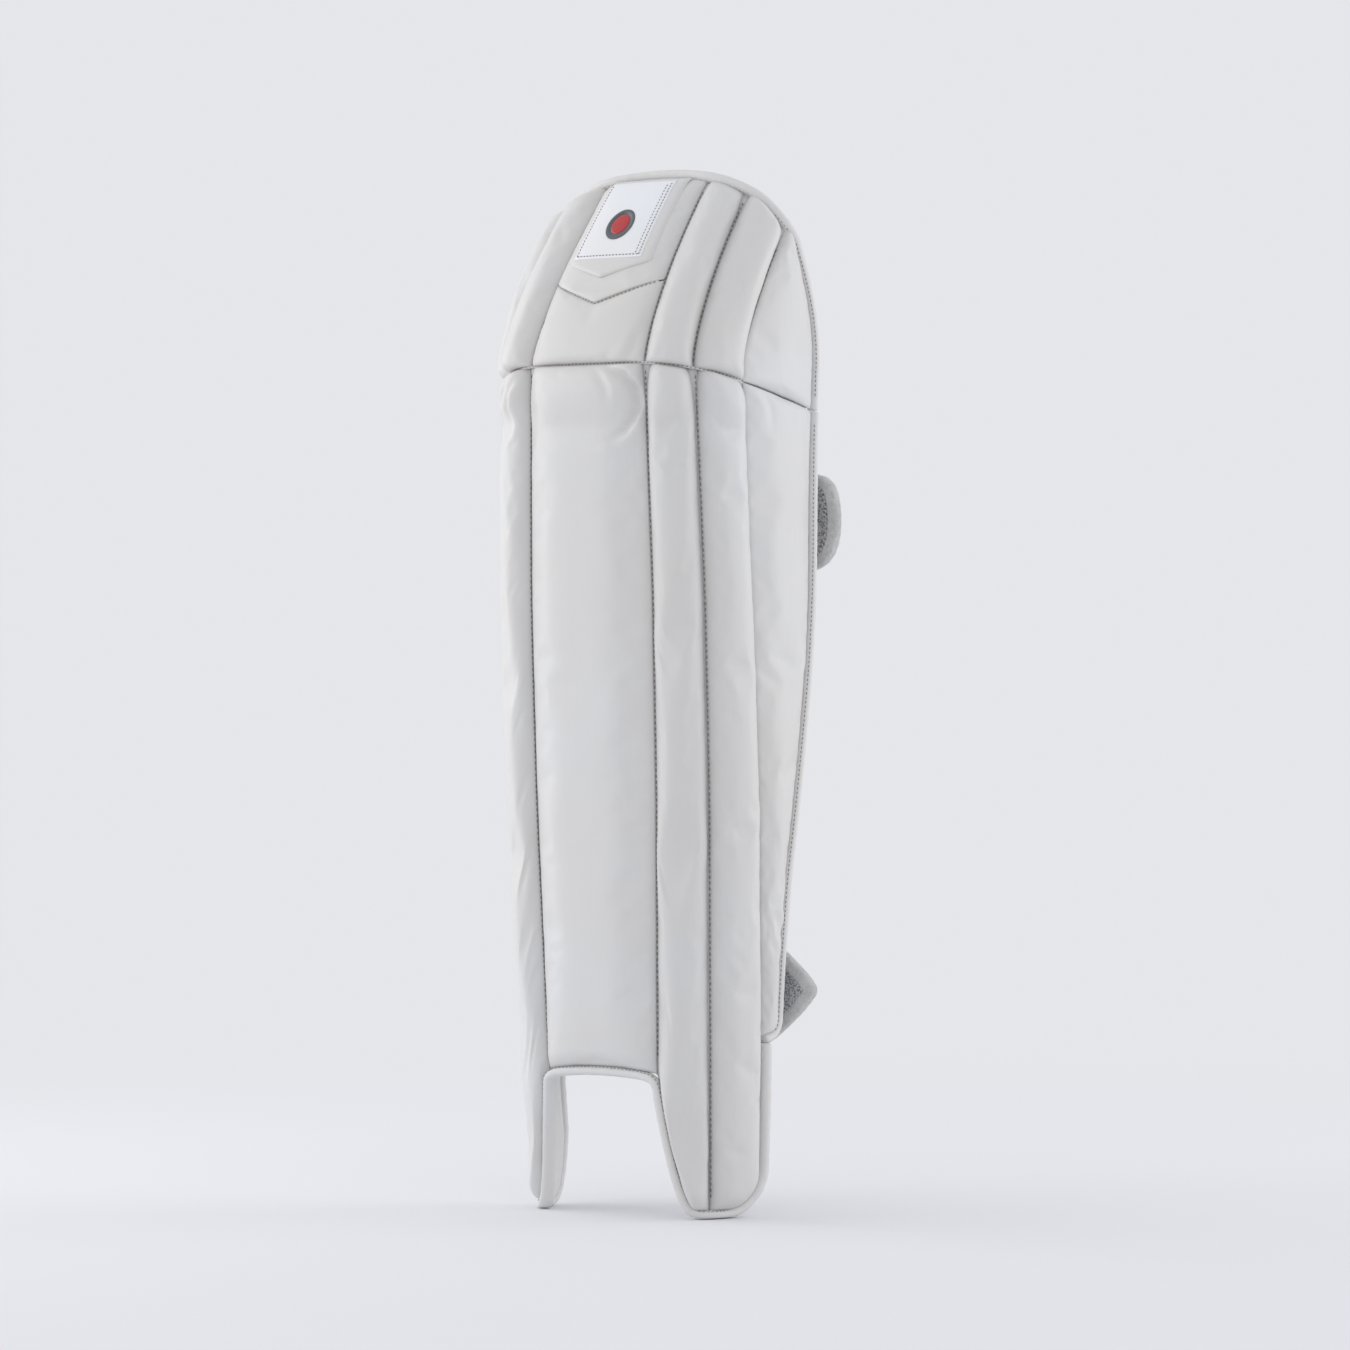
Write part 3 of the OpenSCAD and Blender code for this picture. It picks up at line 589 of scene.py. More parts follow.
def crease(x, y, pts):
    """Distance in mm from (x, y) to a polyline, with the side it lies on and how far along it is."""
    best = np.full(x.shape, 1e9)
    sign = np.ones_like(x)
    along = np.zeros_like(x)
    for i in range(len(pts) - 1):
        (ax, ay), (bx, by) = pts[i], pts[i + 1]
        ux, uy = bx - ax, by - ay
        q = np.clip(((x - ax) * ux + (y - ay) * uy) / (ux * ux + uy * uy), 0, 1)
        dx, dy = x - (ax + q * ux), y - (ay + q * uy)
        d = np.hypot(dx, dy)
        near = d < best
        sign = np.where(near, np.sign(ux * dy - uy * dx), sign)
        along = np.where(near, (i + q) / (len(pts) - 1), along)
        best = np.where(near, d, best)
    return best, sign, along


def fold(x, y, pts, deep, wide, swell=0.0, swell_w=6.0, lip=1):
    """A soft crease: a valley along the line and a swell on one side, fading out at both ends."""
    d, s, u = crease(x, y, pts)
    fade = np.sin(np.pi * np.clip(u, 0.02, 0.98)) ** 0.6
    return fade * (-deep * bump_at(d, wide) + swell * bump_at(d - swell_w, swell_w * 0.8) * (s * lip > 0))


COVERS = []


def pad_cover(name, k, lo, hi, bulge, side=1, nu=20, dz=2.6, detail=None, g0=0.15, g1=0.15, power=2.6,
              r_lo=12.0, r_hi=12.0,
              lift_lo=0.0, lift_hi=0.0, pinch=0.0, mat="leather", seed=1, back_t=-0.3, lump=0.3,
              gather=0.0):
    """One padded panel: a crowned cover over segment k from height lo(f) to hi(f), sewn down all round.

    A lift is how high its end stays, as a share of the crown. Pinch narrows its top end where the seam
    pulls it in.
    """
    f1 = 0.5 - 0.5 * np.cos(np.pi * np.linspace(0, 1, nu + 1))
    f1 = 0.4 * f1 + 0.6 * np.linspace(0, 1, nu + 1)
    length = float(np.max(hi(f1) - lo(f1)))
    nv = max(10, int(length / dz))
    v1 = np.linspace(0, 1, nv + 1)
    v1 = 0.35 * (0.5 - 0.5 * np.cos(np.pi * v1)) + 0.65 * v1
    F, V = np.meshgrid(f1, v1)
    za, zb = lo(F), hi(F)
    Z = za + (zb - za) * V
    d_lo, d_hi = (Z - za), (zb - Z)
    W = seg_w(k, Z)
    dome = np.power(np.clip(1 - np.abs(2 * F - 1) ** power, 0, 1), 0.5)
    rise = (lift_lo + (1 - lift_lo) * ease(d_lo, r_lo)) * (lift_hi + (1 - lift_hi) * ease(d_hi, r_hi))
    corner = np.clip(1 - bump_at(d_hi, 4.5) * pinch * 0.10 * bump_at(np.minimum(F, 1 - F) * W, 5.0), 0, 1)
    shape = dome * rise * corner
    rim = (F == 0) | (F == 1) | (V == 0) | (V == 1)
    T = back_t + (bulge - back_t) * shape
    P0 = face(k, F, T, Z, side, g0=g0, g1=g1)
    T = T + lump * shape * wobble(P0, 0.05, seed)
    narrow = np.minimum(pinch * np.exp(-d_hi / 8.0), 0.2 * W)
    Fp = np.clip(0.5 + (F - 0.5) * (1 - 2 * narrow / np.maximum(W, 1)), 0, 1)
    front = face(k, Fp, T, Z, side, g0=g0, g1=g1)
    back = face(k, Fp, np.minimum(back_t - 0.05, T - 0.1), Z, side, g0=g0, g1=g1)
    verts, faces = closed_grid(front, back, side)
    ob = add_mesh(name, verts, faces, mat)
    a = seg_a(k, Z)
    out = np.stack([side * np.sin(a), -np.cos(a), 0 * a], -1)
    extra = 0.12 * shape * wobble(P0, 0.013, seed + 5)
    if detail is not None:
        extra = extra + detail(F, F * W, Z, d_hi, d_lo) * ease(np.minimum(d_lo, d_hi) + 1.0, 5.0)
    extra[rim] = 0
    COVERS.append((ob, out.reshape(-1, 3), extra.reshape(-1), rim.reshape(-1),
                   np.clip(bump_at(d_hi, 30) * gather, 0, 1).reshape(-1)))
    return ob


def sew_up():
    """Blow up the covers as cloth, then add their folds and dimples.

    Each cover is pinned along its stitches, filled by pressure and gathered at the knee seam. It is kept
    within SOFT_CAP mm of its pattern.
    """
    scene = bpy.context.scene
    for ob, out, extra, rim, gath in COVERS:
        n = len(rim)
        pins = ob.vertex_groups.new(name="sewn")
        pins.add([i for i in range(n) if rim[i]] + list(range(n, len(ob.data.vertices))), 1.0,
                 "REPLACE")
        loose = ob.vertex_groups.new(name="gathered")
        for i in range(n):
            if gath[i] > 0.02:
                loose.add([i], float(gath[i]), "REPLACE")
        cloth = ob.modifiers.new("cloth", "CLOTH")
        c = cloth.settings
        c.quality, c.mass, c.air_damping = 6, 0.35, 2.0
        c.tension_stiffness = c.compression_stiffness = 22
        c.shear_stiffness, c.bending_stiffness = 9, 4.0
        c.vertex_group_mass = "sewn"
        c.pin_stiffness = 1.0
        c.vertex_group_shrink = "gathered"
        c.shrink_min, c.shrink_max = -0.004, -0.05
        c.use_pressure, c.uniform_pressure_force = True, 4.0
        c.effector_weights.gravity = 0.0
        cloth.collision_settings.use_collision = False
        cloth.collision_settings.use_self_collision = False
        cloth.point_cache.frame_start, cloth.point_cache.frame_end = 1, 20
    for f in range(1, 21):
        scene.frame_set(f)
    dg = bpy.context.evaluated_depsgraph_get()
    for ob, out, extra, rim, gath in COVERS:
        me = ob.evaluated_get(dg).to_mesh()
        new = np.array([v.co for v in me.vertices], float)
        old = np.array([v.co for v in ob.data.vertices], float)
        ob.evaluated_get(dg).to_mesh_clear()
        move = new - old
        size = np.linalg.norm(move, axis=1, keepdims=True)
        cap = SOFT_CAP * MM
        move *= cap * np.tanh(size / cap) / np.maximum(size, 1e-9)
        ob.modifiers.remove(ob.modifiers["cloth"])
        ob.data.vertices.foreach_set("co", (old + move).reshape(-1))
        ob.vertex_groups.clear()
    scene.frame_set(1)
    for ob, out, extra, rim, gath in COVERS:
        n = len(rim)
        co = np.array([v.co for v in ob.data.vertices], float)
        co[:n] += out * (extra * MM)[:, None]
        ob.data.vertices.foreach_set("co", co.reshape(-1))
        ob.data.update()
        m = ob.modifiers.new("subdiv", "SUBSURF")
        m.levels = m.render_levels = 1



def seam(k):
    return lambda f: seam_z(k, f)


def shin_centre_detail(F, X, Z, hi, lo):
    w = seg_w(0, Z)
    line = [(0.68, 0), (0.78, 4), (0.89, 8), (0.955, 15), (0.97, 25), (0.93, 34), (0.86, 42), (0.77, 47)]
    x = F * PANEL_W
    pts = [(f * PANEL_W, h) for f, h in line]
    out = fold(x, hi, pts, 4.6, 2.6, 3.0, 6.0, -1)
    out += fold(x, hi, [(0.62 * PANEL_W, 1), (0.70 * PANEL_W, 8), (0.76 * PANEL_W, 16),
                        (0.77 * PANEL_W, 25)], 1.4, 2.8, 0.8, 5, -1)
    out += fold(x, hi, [(0.03 * PANEL_W, 3), (0.055 * PANEL_W, 22), (0.05 * PANEL_W, 40),
                        (0.03 * PANEL_W, 58)], 1.5, 3.0, 0.6, 6, 1)
    out += fold(x, hi, [(0.3 * PANEL_W, 0), (0.33 * PANEL_W, 9)], 0.5, 3.0)
    out += 2.8 * bump_at(hi - 17, 12) * np.sin(np.pi * F) ** 0.5 - 2.2 * bump_at(hi - 39,
            8) * np.sin(np.pi * F) ** 0.8
    out += 0.5 * bump_at(X - w + 5, 3) * np.sin(Z * 0.21 + 1.0) * bump_at(hi - 60, 60)
    return out


def roll_detail(side, inner):
    def build(F, X, Z, hi, lo):
        w = INNER_W if inner else OUTER_W
        x = F * w
        out = 2.8 * bump_at(hi - 17, 10) * np.sin(np.pi * F) ** 0.7 - 2.2 * bump_at(hi - 34,
                7) * np.sin(np.pi * F)
        if side < 0 and inner:
            out += fold(x, hi, [(3, 6), (9, 14), (12, 25), (9, 36)], 2.2, 2.8, 1.4, 5.5, 1)
            out += fold(x, hi, [(18, 3), (15, 12), (19, 22)], 1.5, 2.5, 0.8, 5, -1)
            out += fold(x, hi, [(26, 10), (22, 20), (24, 34), (20, 44)], 1.3, 2.8, 0.7, 5, -1)
        elif side < 0:
            out += fold(x, hi, [(2, 8), (10, 16), (12, 30)], 1.6, 3.0, 0.9, 5, 1)
            out += fold(x, hi, [(20, 5), (16, 18), (20, 34)], 1.2, 3.0, 0.6, 5, -1)
        else:
            out += fold(x, hi, [(w - 2, 20), (w - 8, 31), (w - 17, 36), (w - 24, 34)], 0.9, 2.8, 0.6, 5, 1)
            out += fold(x, hi, [(4, 4), (7, 16)], 0.6, 2.6)
        out += 0.3 * np.sin(Z * 0.05 + side) * np.sin(np.pi * F)
        return out
    return build


def knee_roll_detail(side):
    def build(F, X, Z, hi, lo):
        out = 0.7 * bump_at(lo - 14, 9) * np.sin(np.pi * F)
        out += fold(X, lo, [(6 + side, 0), (9 + side, 12)], 0.7, 2.4) + fold(X, lo, [(22, 0), (20, 9)], 0.5,
                2.4)
        out += fold(X, hi, [(7, 1), (9, 13)], 0.5, 2.6) + fold(X, hi, [(19, 1), (20, 9)], 0.4, 2.4)
        return out
    return build


def knee_panel_detail(F, X, Z, hi, lo):
    x = F * KNEE_PANEL_W
    out = fold(x, lo, [(74, 0), (78, 9), (80, 22)], 1.3, 2.6, 0.7, 5, 1)
    out += fold(x, lo, [(60, 0), (64, 8)], 0.6, 2.6) + fold(x, lo, [(8, 0), (6, 10), (7, 20)], 0.8, 2.6)
    return out


def wing_detail(F, X, Z, hi, lo):
    out = fold(X, Z, [(6, 188), (14, 176), (24, 170)], 1.3, 4.5, 1.0, 7, 1)
    out += fold(X, Z, [(10, 330), (30, 322), (48, 326)], 0.5, 9.0)
    out += fold(X, hi, [(14, 1), (20, 12), (20, 24)], 1.0, 3.2, 0.4, 5, 1) + fold(X, hi,
            [(42, 2), (40, 18)], 0.8, 3.6)
    out += fold(X, hi, [(62, 2), (56, 22), (58, 44)], 0.8, 3.6)
    return out


made = {}


def cover_pair(base, k, lo, hi, bulge, body, detail, more_left=0.0, **opts):
    for side, word in ((1, "right"), (-1, "left")):
        name = base.format(word)
        ob = pad_cover("pad_" + name, k, lo(side), hi, bulge + (more_left if side < 0 else 0.0), side,
                       detail=detail(side) if detail else None, seed=k * 4 + side + 3, **opts)
        nodes = [name + "_cover", name + "_foam"] if name + "_cover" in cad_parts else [name]
        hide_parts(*nodes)
        made[name] = (ob, body.format(word))


SEAM_LIFT, VEE_LIFT = 0.5, 0.86
shin_centre = pad_cover("pad_shin_panel", 0, lambda f: low_z(0, f), seam(0), BULGE_MID + 1, nu=44, dz=2.2,
                        detail=shin_centre_detail, power=3.2, pinch=1.8, lift_hi=SEAM_LIFT, r_hi=9, seed=2,
                        gather=0.7)
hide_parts("shin_panel_cover", "shin_panel_foam")
made["shin_panel"] = (shin_centre, "shin")
cover_pair("inner_roll_{}", 1, lambda s: lambda f: low_z(1, f), seam(1), BULGE_ROLL + 0.6, "shin",
           lambda s: roll_detail(s, True),
           pinch=3.6, lift_hi=SEAM_LIFT, r_hi=8, gather=1.0, power=3.8)
cover_pair("outer_roll_{}", 2, lambda s: lambda f: low_z(2, f, s), seam(2), BULGE_ROLL + 0.6, "shin",
           lambda s: roll_detail(s, False), pinch=3.4, lift_hi=SEAM_LIFT, r_hi=8, gather=0.9, g1=0.5,
           power=3.8)
cover_pair("wing_{}", 3, lambda s: lambda f: low_z(3, f), seam(3), BULGE_WING + 0.5, "wing_{}",
           lambda s: wing_detail, nu=28,
           g0=0.5, r_lo=9.0, lift_hi=0.45, r_hi=7, gather=0.7)
cover_pair("knee_inner_roll_{}", 1, lambda s: seam(1), lambda f: top_z(1, f), BULGE_ROLL + 0.6, "knee",
           knee_roll_detail, 2.0,
           dz=2.2, lift_lo=SEAM_LIFT, r_lo=7, r_hi=6, pinch=2.2, power=3.0)
cover_pair("knee_outer_roll_{}", 2, lambda s: seam(2), lambda f: top_z(2, f), BULGE_ROLL + 0.6, "knee",
           knee_roll_detail, 3.0,
           dz=2.2, lift_lo=SEAM_LIFT, r_lo=7, r_hi=6, pinch=2.0, power=3.0)
cover_pair("side_panel_{}", 3, lambda s: seam(3), lambda f: top_z(3, f), BULGE_WING, "knee", None, nu=26,
           dz=2.2, lift_lo=0.45,
           r_lo=7)
knee_low = pad_cover("pad_knee_panel", 0, seam(0), vee_z, BULGE_MID + 1, nu=40, dz=1.8, power=3.2, r_lo=8.0,
                     r_hi=5.0,
                     lift_lo=SEAM_LIFT, lift_hi=VEE_LIFT, seed=4, detail=knee_panel_detail)
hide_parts("knee_panel_cover", "knee_panel_foam")
made["knee_panel"] = (knee_low, "knee")
knee_high = pad_cover("pad_chevron_panel", 0, vee_z, lambda f: top_z(0, f), BULGE_MID + 2.0, nu=40, dz=1.8,
                      power=3.2,
                      r_lo=5.0, r_hi=8.0, lift_lo=VEE_LIFT, seed=6)
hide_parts("chevron_panel_cover", "chevron_panel_foam")
made["chevron_panel"] = (knee_high, "knee")


def crown_t(k, f, z, bulge, power, lift_lo=0.0, lift_hi=0.0, lo=None, hi=None, r_lo=12.0, r_hi=12.0):
    """How far a cover's face stands out at fraction f and height z."""
    f = np.asarray(f, float)
    rise = 1.0
    if lo is not None:
        rise = rise * (lift_lo + (1 - lift_lo) * ease(np.maximum(z - lo, 0), r_lo))
    if hi is not None:
        rise = rise * (lift_hi + (1 - lift_hi) * ease(np.maximum(hi - z, 0), r_hi))
    return -0.3 + (bulge + 0.3) * np.sqrt(np.clip(1 - np.abs(2 * f - 1) ** power, 0, 1)) * rise


# ---------------------------------------------------------------------------
# Bindings: padded rolled edges
# ---------------------------------------------------------------------------


def edge_line(path, centre_t):
    """Points in metres and outward directions along (segment, fraction, height) points, rounded off."""
    dense = []
    for a, b in zip(path[:-1], path[1:]):
        pa, pb = face(*a[:2], 0, a[2], wrap=True), face(*b[:2], 0, b[2], wrap=True)
        steps = max(1, int(np.linalg.norm(pb - pa) / (2.2 * MM)))
        for i in range(steps):
            q = i / steps
            if a[0] == b[0]:
                dense.append((a[0], a[1] + (b[1] - a[1]) * q, a[2] + (b[2] - a[2]) * q))
            else:
                dense.append(a if q < 0.5 else b)
    dense.append(path[-1])
    p = np.array([face(k, f, centre_t, z, wrap=True) for k, f, z in dense])
    ang = np.array([float(turn(k, np.float64(f), np.float64(z))) for k, f, z in dense])
    keep = np.concatenate([[True], np.linalg.norm(np.diff(p, axis=0), axis=1) > 0.4 * MM])
    p, ang = p[keep], ang[keep]
    for _ in range(3):
        p[1:-1] = 0.25 * p[:-2] + 0.5 * p[1:-1] + 0.25 * p[2:]
        ang[1:-1] = 0.25 * ang[:-2] + 0.5 * ang[1:-1] + 0.25 * ang[2:]
    return p, np.stack([np.sin(ang), -np.cos(ang), 0 * ang], -1)


def edge_binding(name, path, r_out, r_face, sense, left_path=None, centre_t=1.0, reach=1.6, seed=1,
                 thin=None):
    """A padded roll along the edge; left_path is the other half's. thin(p) scales it along its length."""
    p, n = edge_line(path, centre_t)
    if left_path is not None:
        p2, n2 = edge_line(left_path, centre_t)
        p, n = both_sides(p, n, p2, n2)
    d = unit(np.gradient(p, axis=0))
    n = unit(n - d * (n * d).sum(1, keepdims=True))
    o = unit(np.cross(d, n)) * sense
    count = 16
    q = np.arange(count) * 2 * np.pi / count
    c, s = np.cos(q), np.sin(q)
    cx = np.sign(c) * np.abs(c) ** 0.85
    sy = np.sign(s) * np.abs(s) ** 0.85
    arc = np.concatenate([[0], np.cumsum(np.linalg.norm(np.diff(p, axis=0), axis=1))]) / MM
    puff = 1 + 0.025 * np.sin(arc * 0.75 + 2 * np.sin(arc * 0.11)) + 0.06 * wobble(p, 0.03, seed)
    if thin is not None:
        puff = puff * thin(p)
    rings = (p[:, None] + o[:, None] * ((reach + r_out * cx[None, :] * puff[:, None]) * MM)[..., None]
             + n[:, None] * ((r_face * sy[None, :] * puff[:, None]) * MM)[..., None])
    rings[..., 2] = np.maximum(rings[..., 2], 0.0002)
    verts, faces = tube_mesh(rings)
    ob = add_mesh(name, verts, faces, "binding", 1)
    return ob, p, n, o


def leg_edge(side):
    z0 = float(low_z(2, 0.99, side))
    return ([(0, f, float(low_z(0, f))) for f in (0.5, 0.6, 0.7, 0.8, 0.9)]
            + [(0, 0.985, float(low_z(0, 1.0)) - 1.5)]
            + [(1, f, float(low_z(1, f)))
               for f in (0.03, 0.09, 0.17, 0.26, 0.35, 0.44, 0.53, 0.62, 0.74, 0.9)]
            + [(2, f, float(low_z(2, f, side))) for f in (0.05, 0.2, 0.35, 0.5, 0.65, 0.78, 0.88, 0.95)]
            + [(2, 1.045, z0 + (WING_LOW - 3.2 - z0) * v) for v in (0.08, 0.2, 0.4, 0.6, 0.8, 1.0)])


arch_edge = ([(0, f, float(top_z(0, f))) for f in (0.5, 0.62, 0.74, 0.86, 0.97)]
             + [(1, f, float(top_z(1, f))) for f in (0.15, 0.38, 0.62, 0.86)]
             + [(2, f, float(top_z(2, f))) for f in (0.12, 0.34, 0.56, 0.78, 0.94)]
             + [(3, 1.0, z) for z in (SIDE_H - 4, 597, 588, 578, 566, 553, 540, 526, 512, 504,
                                      float(seam_z(3, 1.0)) + 0.2)])
wing_edge = ([(3, 0.2, WING_LOW + 0.5), (3, 0.6, WING_LOW + 1.5), (3, 0.85, WING_LOW + 2.5),
              (3, 0.98, WING_LOW + 5)]
             + [(3, 1.0, z) for z in (118, 128, 145, 165, 185, 210, 235, 260, 290, 320, 350, 380, 410, 440,
                                      465, 482,
                                      float(seam_z(3, 1.0)) - 0.2)])
bind_low, low_p, low_n, low_o = edge_binding("binding_lower", leg_edge(1), 3.0, 4.6, 1, leg_edge(-1), 1.2,
                                             1.9, 3,
                                               lambda p: 1 + 0.34 * np.clip((np.abs(p[:, 0] / MM - OX)
                                                       - 66) / 8, 0, 1))
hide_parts("lower_binding")
bind_top, top_p, top_n, top_o = edge_binding("binding_top", arch_edge, 3.4, 4.8, -1, arch_edge, 0.6, 1.5, 5,
                                             lambda p: 0.78 + 0.22
                                             * np.clip((p[:, 2] / MM - 560) / 50, 0, 1))
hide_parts("top_binding")
bind_wing, wing_p, wing_n, wing_o = edge_binding("binding_wing_right", wing_edge, 2.9, 4.4, 1, None, 0.8,
                                                 1.4, 7)
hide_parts("wing_right_binding")


def mirrored(ob, name):
    me = ob.data.copy()
    for v in me.vertices:
        v.co.x = 2 * OX * MM - v.co.x
    me.flip_normals()
    new = ob.copy()
    new.data, new.name = me, name
    for key in [k for k in new.keys() if k.startswith("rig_")]:
        del new[key]
    bpy.context.scene.collection.objects.link(new)
    return new


bind_wing_l = mirrored(bind_wing, "binding_wing_left")
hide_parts("wing_left_binding")

# ---------------------------------------------------------------------------
# Linings, bolsters and the knee cup
# ---------------------------------------------------------------------------


def lining(name, spans, lo, hi, t0, t1, mirror_half, dz=7.0, mat="lining", seed=1, quilt=0.0):
    cols = []
    for k, f0, f1, count in spans:
        cols += [(k, f0 + (f1 - f0) * i / count) for i in range(count)]
    cols.append((spans[-1][0], spans[-1][2]))
    zh = np.array([float(hi(k, f)) for k, f in cols])
    nv = int((zh - np.array([float(lo(k, f)) for k, f in cols])).max() / dz)
    v = np.linspace(0, 1, nv + 1)
    tight = 0.7 / float((zh - np.array([float(lo(k, f)) for k, f in cols])).max())
    v = np.sort(np.concatenate([v, [tight, 1 - tight]]))[:, None]
    nv = len(v) - 1

    def half(t, side):
        zl = np.array([float(lo(k, f, side)) if lo is lining_low else float(lo(k, f)) for k, f in cols])
        z = zl + (zh - zl) * v
        return z, np.stack([face(k, np.full(nv + 1, f), np.full(nv + 1, t), z[:, i], wrap=True)
                            for i, (k, f) in enumerate(cols)], 1)
    Z = half(0, 1)[0]

    def surf(t):
        g = half(t, 1)[1]
        if mirror_half:
            g = np.concatenate([flipped(half(t, -1)[1][:, 1:][:, ::-1]), g], 1)
        return g

    front, back = surf(t0), surf(t1)
    out = unit(front - back)
    soft = (wobble(back, 0.05, seed) * 0.5 + wobble(back, 0.016, seed + 3) * 0.18) * MM
    back = back + out * soft[..., None]
    if quilt:
        rows = np.abs(np.sin(Z[:, :1] * math.pi / 38)) ** 0.35
        back = back + out * ((1 - rows) * quilt * MM)[..., None]
    verts, faces = closed_grid(front, back, 1)
    ob = add_mesh(name, verts, faces, mat, 1)
    return ob


def lining_low(k, f, side=1):
    return float(low_z(k, f, side)) + 0.3


shin_lining = lining("lining_shin", [(0, 0.5, 1, 6), (1, 0, 1, 9), (2, 0, 0.97, 10), (2, 0.985, 0.996, 2)],
                     lining_low,
                     lambda k, f: seam_z(k, f) + 0.1, -0.4, -3.6, True, quilt=0.5, seed=11)
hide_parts("shin_lining")
knee_lining = lining("lining_knee", [(0, 0.5, 1, 6), (1, 0, 1, 5), (2, 0, 1, 5), (3, 0, 0.99, 8)],
                     lambda k, f: seam_z(k, f) + 0.2, lambda k, f: float(top_z(k, f)) - 0.3, -0.4, -3.6,
                     True, dz=5, seed=12)
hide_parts("knee_lining")
wing_lining = lining("lining_wing_right", [(3, 0.003, 0.01, 2), (3, 0.03, 0.99, 8)], lambda k,
                     f: float(low_z(k, f)) + 1, seam_z,
                     -0.5, -3.5, False, seed=13)
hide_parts("wing_right_lining")
wing_lining_l = mirrored(wing_lining, "lining_wing_left")
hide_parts("wing_left_lining")


def bolster(side):
    f1, v1 = np.linspace(0.12, 0.88, 15), np.linspace(0, 1, 130)
    F, V = np.meshgrid(f1, v1)
    z0, z1 = NOTCH_H + 45, SEAM_H - 60
    Z = z0 + (z1 - z0) * V
    d = np.minimum(Z - z0, z1 - Z)
    shape = np.sqrt(np.clip(1 - np.abs((F - 0.5) / 0.38) ** 2.6, 0, 1)) * ease(d, 14)
    P0 = face(1, F, -5 - 9 * shape, Z, side)
    quilt = 1 - 0.22 * np.exp(-((Z - z0) % 54 - 27) ** 2 / 14.0)
    T = -4.0 - (BOLSTER_T - 0.8) * shape * quilt + 0.35 * shape * wobble(P0, 0.025, 3 + side)
    front = face(1, F, -3.75 + 0 * T, Z, side)
    verts, faces = closed_grid(front, face(1, F, T, Z, side), side)
    ob = add_mesh("bolster_shin_" + ("right" if side > 0 else "left"), verts, faces, "bolster", 1)
    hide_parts("shin_bolster_" + ("right" if side > 0 else "left"))
    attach(ob, "shin")


bolster(1)
bolster(-1)


def knee_cup():
    cols = [(0, 0.5 + 0.5 * i / 10) for i in range(10)] + [(1, 0.85 * i / 8) for i in range(9)]
    v = np.linspace(0, 1, 34)
    zl = np.array([seam_z(k, f) + 14 + 0.1 * depth_at(k, f) for k, f in cols])
    zh = np.array([float(top_z(k, f)) - 26 for k, f in cols])
    Z = zl + (zh - zl) * v[:, None]
    u = np.linspace(0, 1, len(cols))[None, :]
    d = np.minimum(Z - zl, zh - Z)
    shape = ease(d, 14) * np.sqrt(np.clip(1 - u ** 4, 0, 1))
    ribs = 1 - 0.25 * np.exp(-(np.abs(u - 0.52) / 0.03) ** 2)

    def surf(T):
        g = np.stack([face(k, np.full(len(v), f), T[:, i], Z[:, i], wrap=True) for i,
                      (k, f) in enumerate(cols)], 1)
        return np.concatenate([flipped(g[:, 1:][:, ::-1]), g], 1)

    front, back = surf(-3.7 + 0 * shape), surf(-4.2 - (BOLSTER_T - 3) * shape * ribs)
    back = back + (unit(front - back) * (0.4 * wobble(back, 0.03, 21) * MM)[..., None])
    verts, faces = closed_grid(front, back, 1)
    ob = add_mesh("knee_cup_pad", verts, faces, "bolster", 1)
    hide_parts("knee_cup")
    return ob


cup = knee_cup()
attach(cup, "knee")

# ---------------------------------------------------------------------------
# Badge: a raised flap with a pointed lower edge, a plain sewn patch and a plain round mark
# ---------------------------------------------------------------------------


def chevron_face(f, z, lift=0.0):
    """Point on the chevron panel's crowned front, lifted off it."""
    return face(0, f, crown_t(0, f, z, BULGE_MID + 2.0, 3.2, VEE_LIFT, 0.55, vee_z(f), top_z(0, f), 5.0,
                              8.0) + lift, z)


def badge_piece(name, outline, lift, thick, mat, res=22, crown=0.0):
    """A thin sewn layer on the badge panel. outline(u, v) gives (f, z) for u, v in 0 to 1."""
    u = np.linspace(0, 1, res + 1)
    U, V = np.meshgrid(u, u)
    f, z = outline(U, V)
    edge = np.minimum(np.minimum(U, 1 - U), np.minimum(V, 1 - V))
    up = thick * ease(edge, 0.07) + crown * np.sin(np.pi * U) * np.sin(np.pi * V)
    front, back = chevron_face(f, z, lift + up), chevron_face(f, z, lift - 0.5)
    verts, faces = closed_grid(front, back, 1)
    ob = add_mesh(name, verts, faces, mat, 1)
    return ob


FLAP_F0, FLAP_F1, PATCH_F0, PATCH_F1, PATCH_LO, PATCH_HI = 0.12, 0.89, 0.15, 0.81, 587.0, 638.0


def flap_outline(U, V):
    f = FLAP_F0 + (FLAP_F1 - FLAP_F0) * U
    lo = 574.5 + 9.5 * np.abs(U - 0.47) / 0.5
    return f, lo + (639.5 - lo) * V


def patch_outline(U, V):
    return PATCH_F0 + (PATCH_F1 - PATCH_F0) * U, PATCH_LO + (PATCH_HI - PATCH_LO) * V


backing = badge_piece("badge_backing_pad", flap_outline, 0.0, 2.6, "leather", 40, 0.6)
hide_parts("badge_backing")
patch = badge_piece("badge_patch_cloth", patch_outline, 2.75, 0.7, "badge", 30, 0.5)
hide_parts("badge_patch")


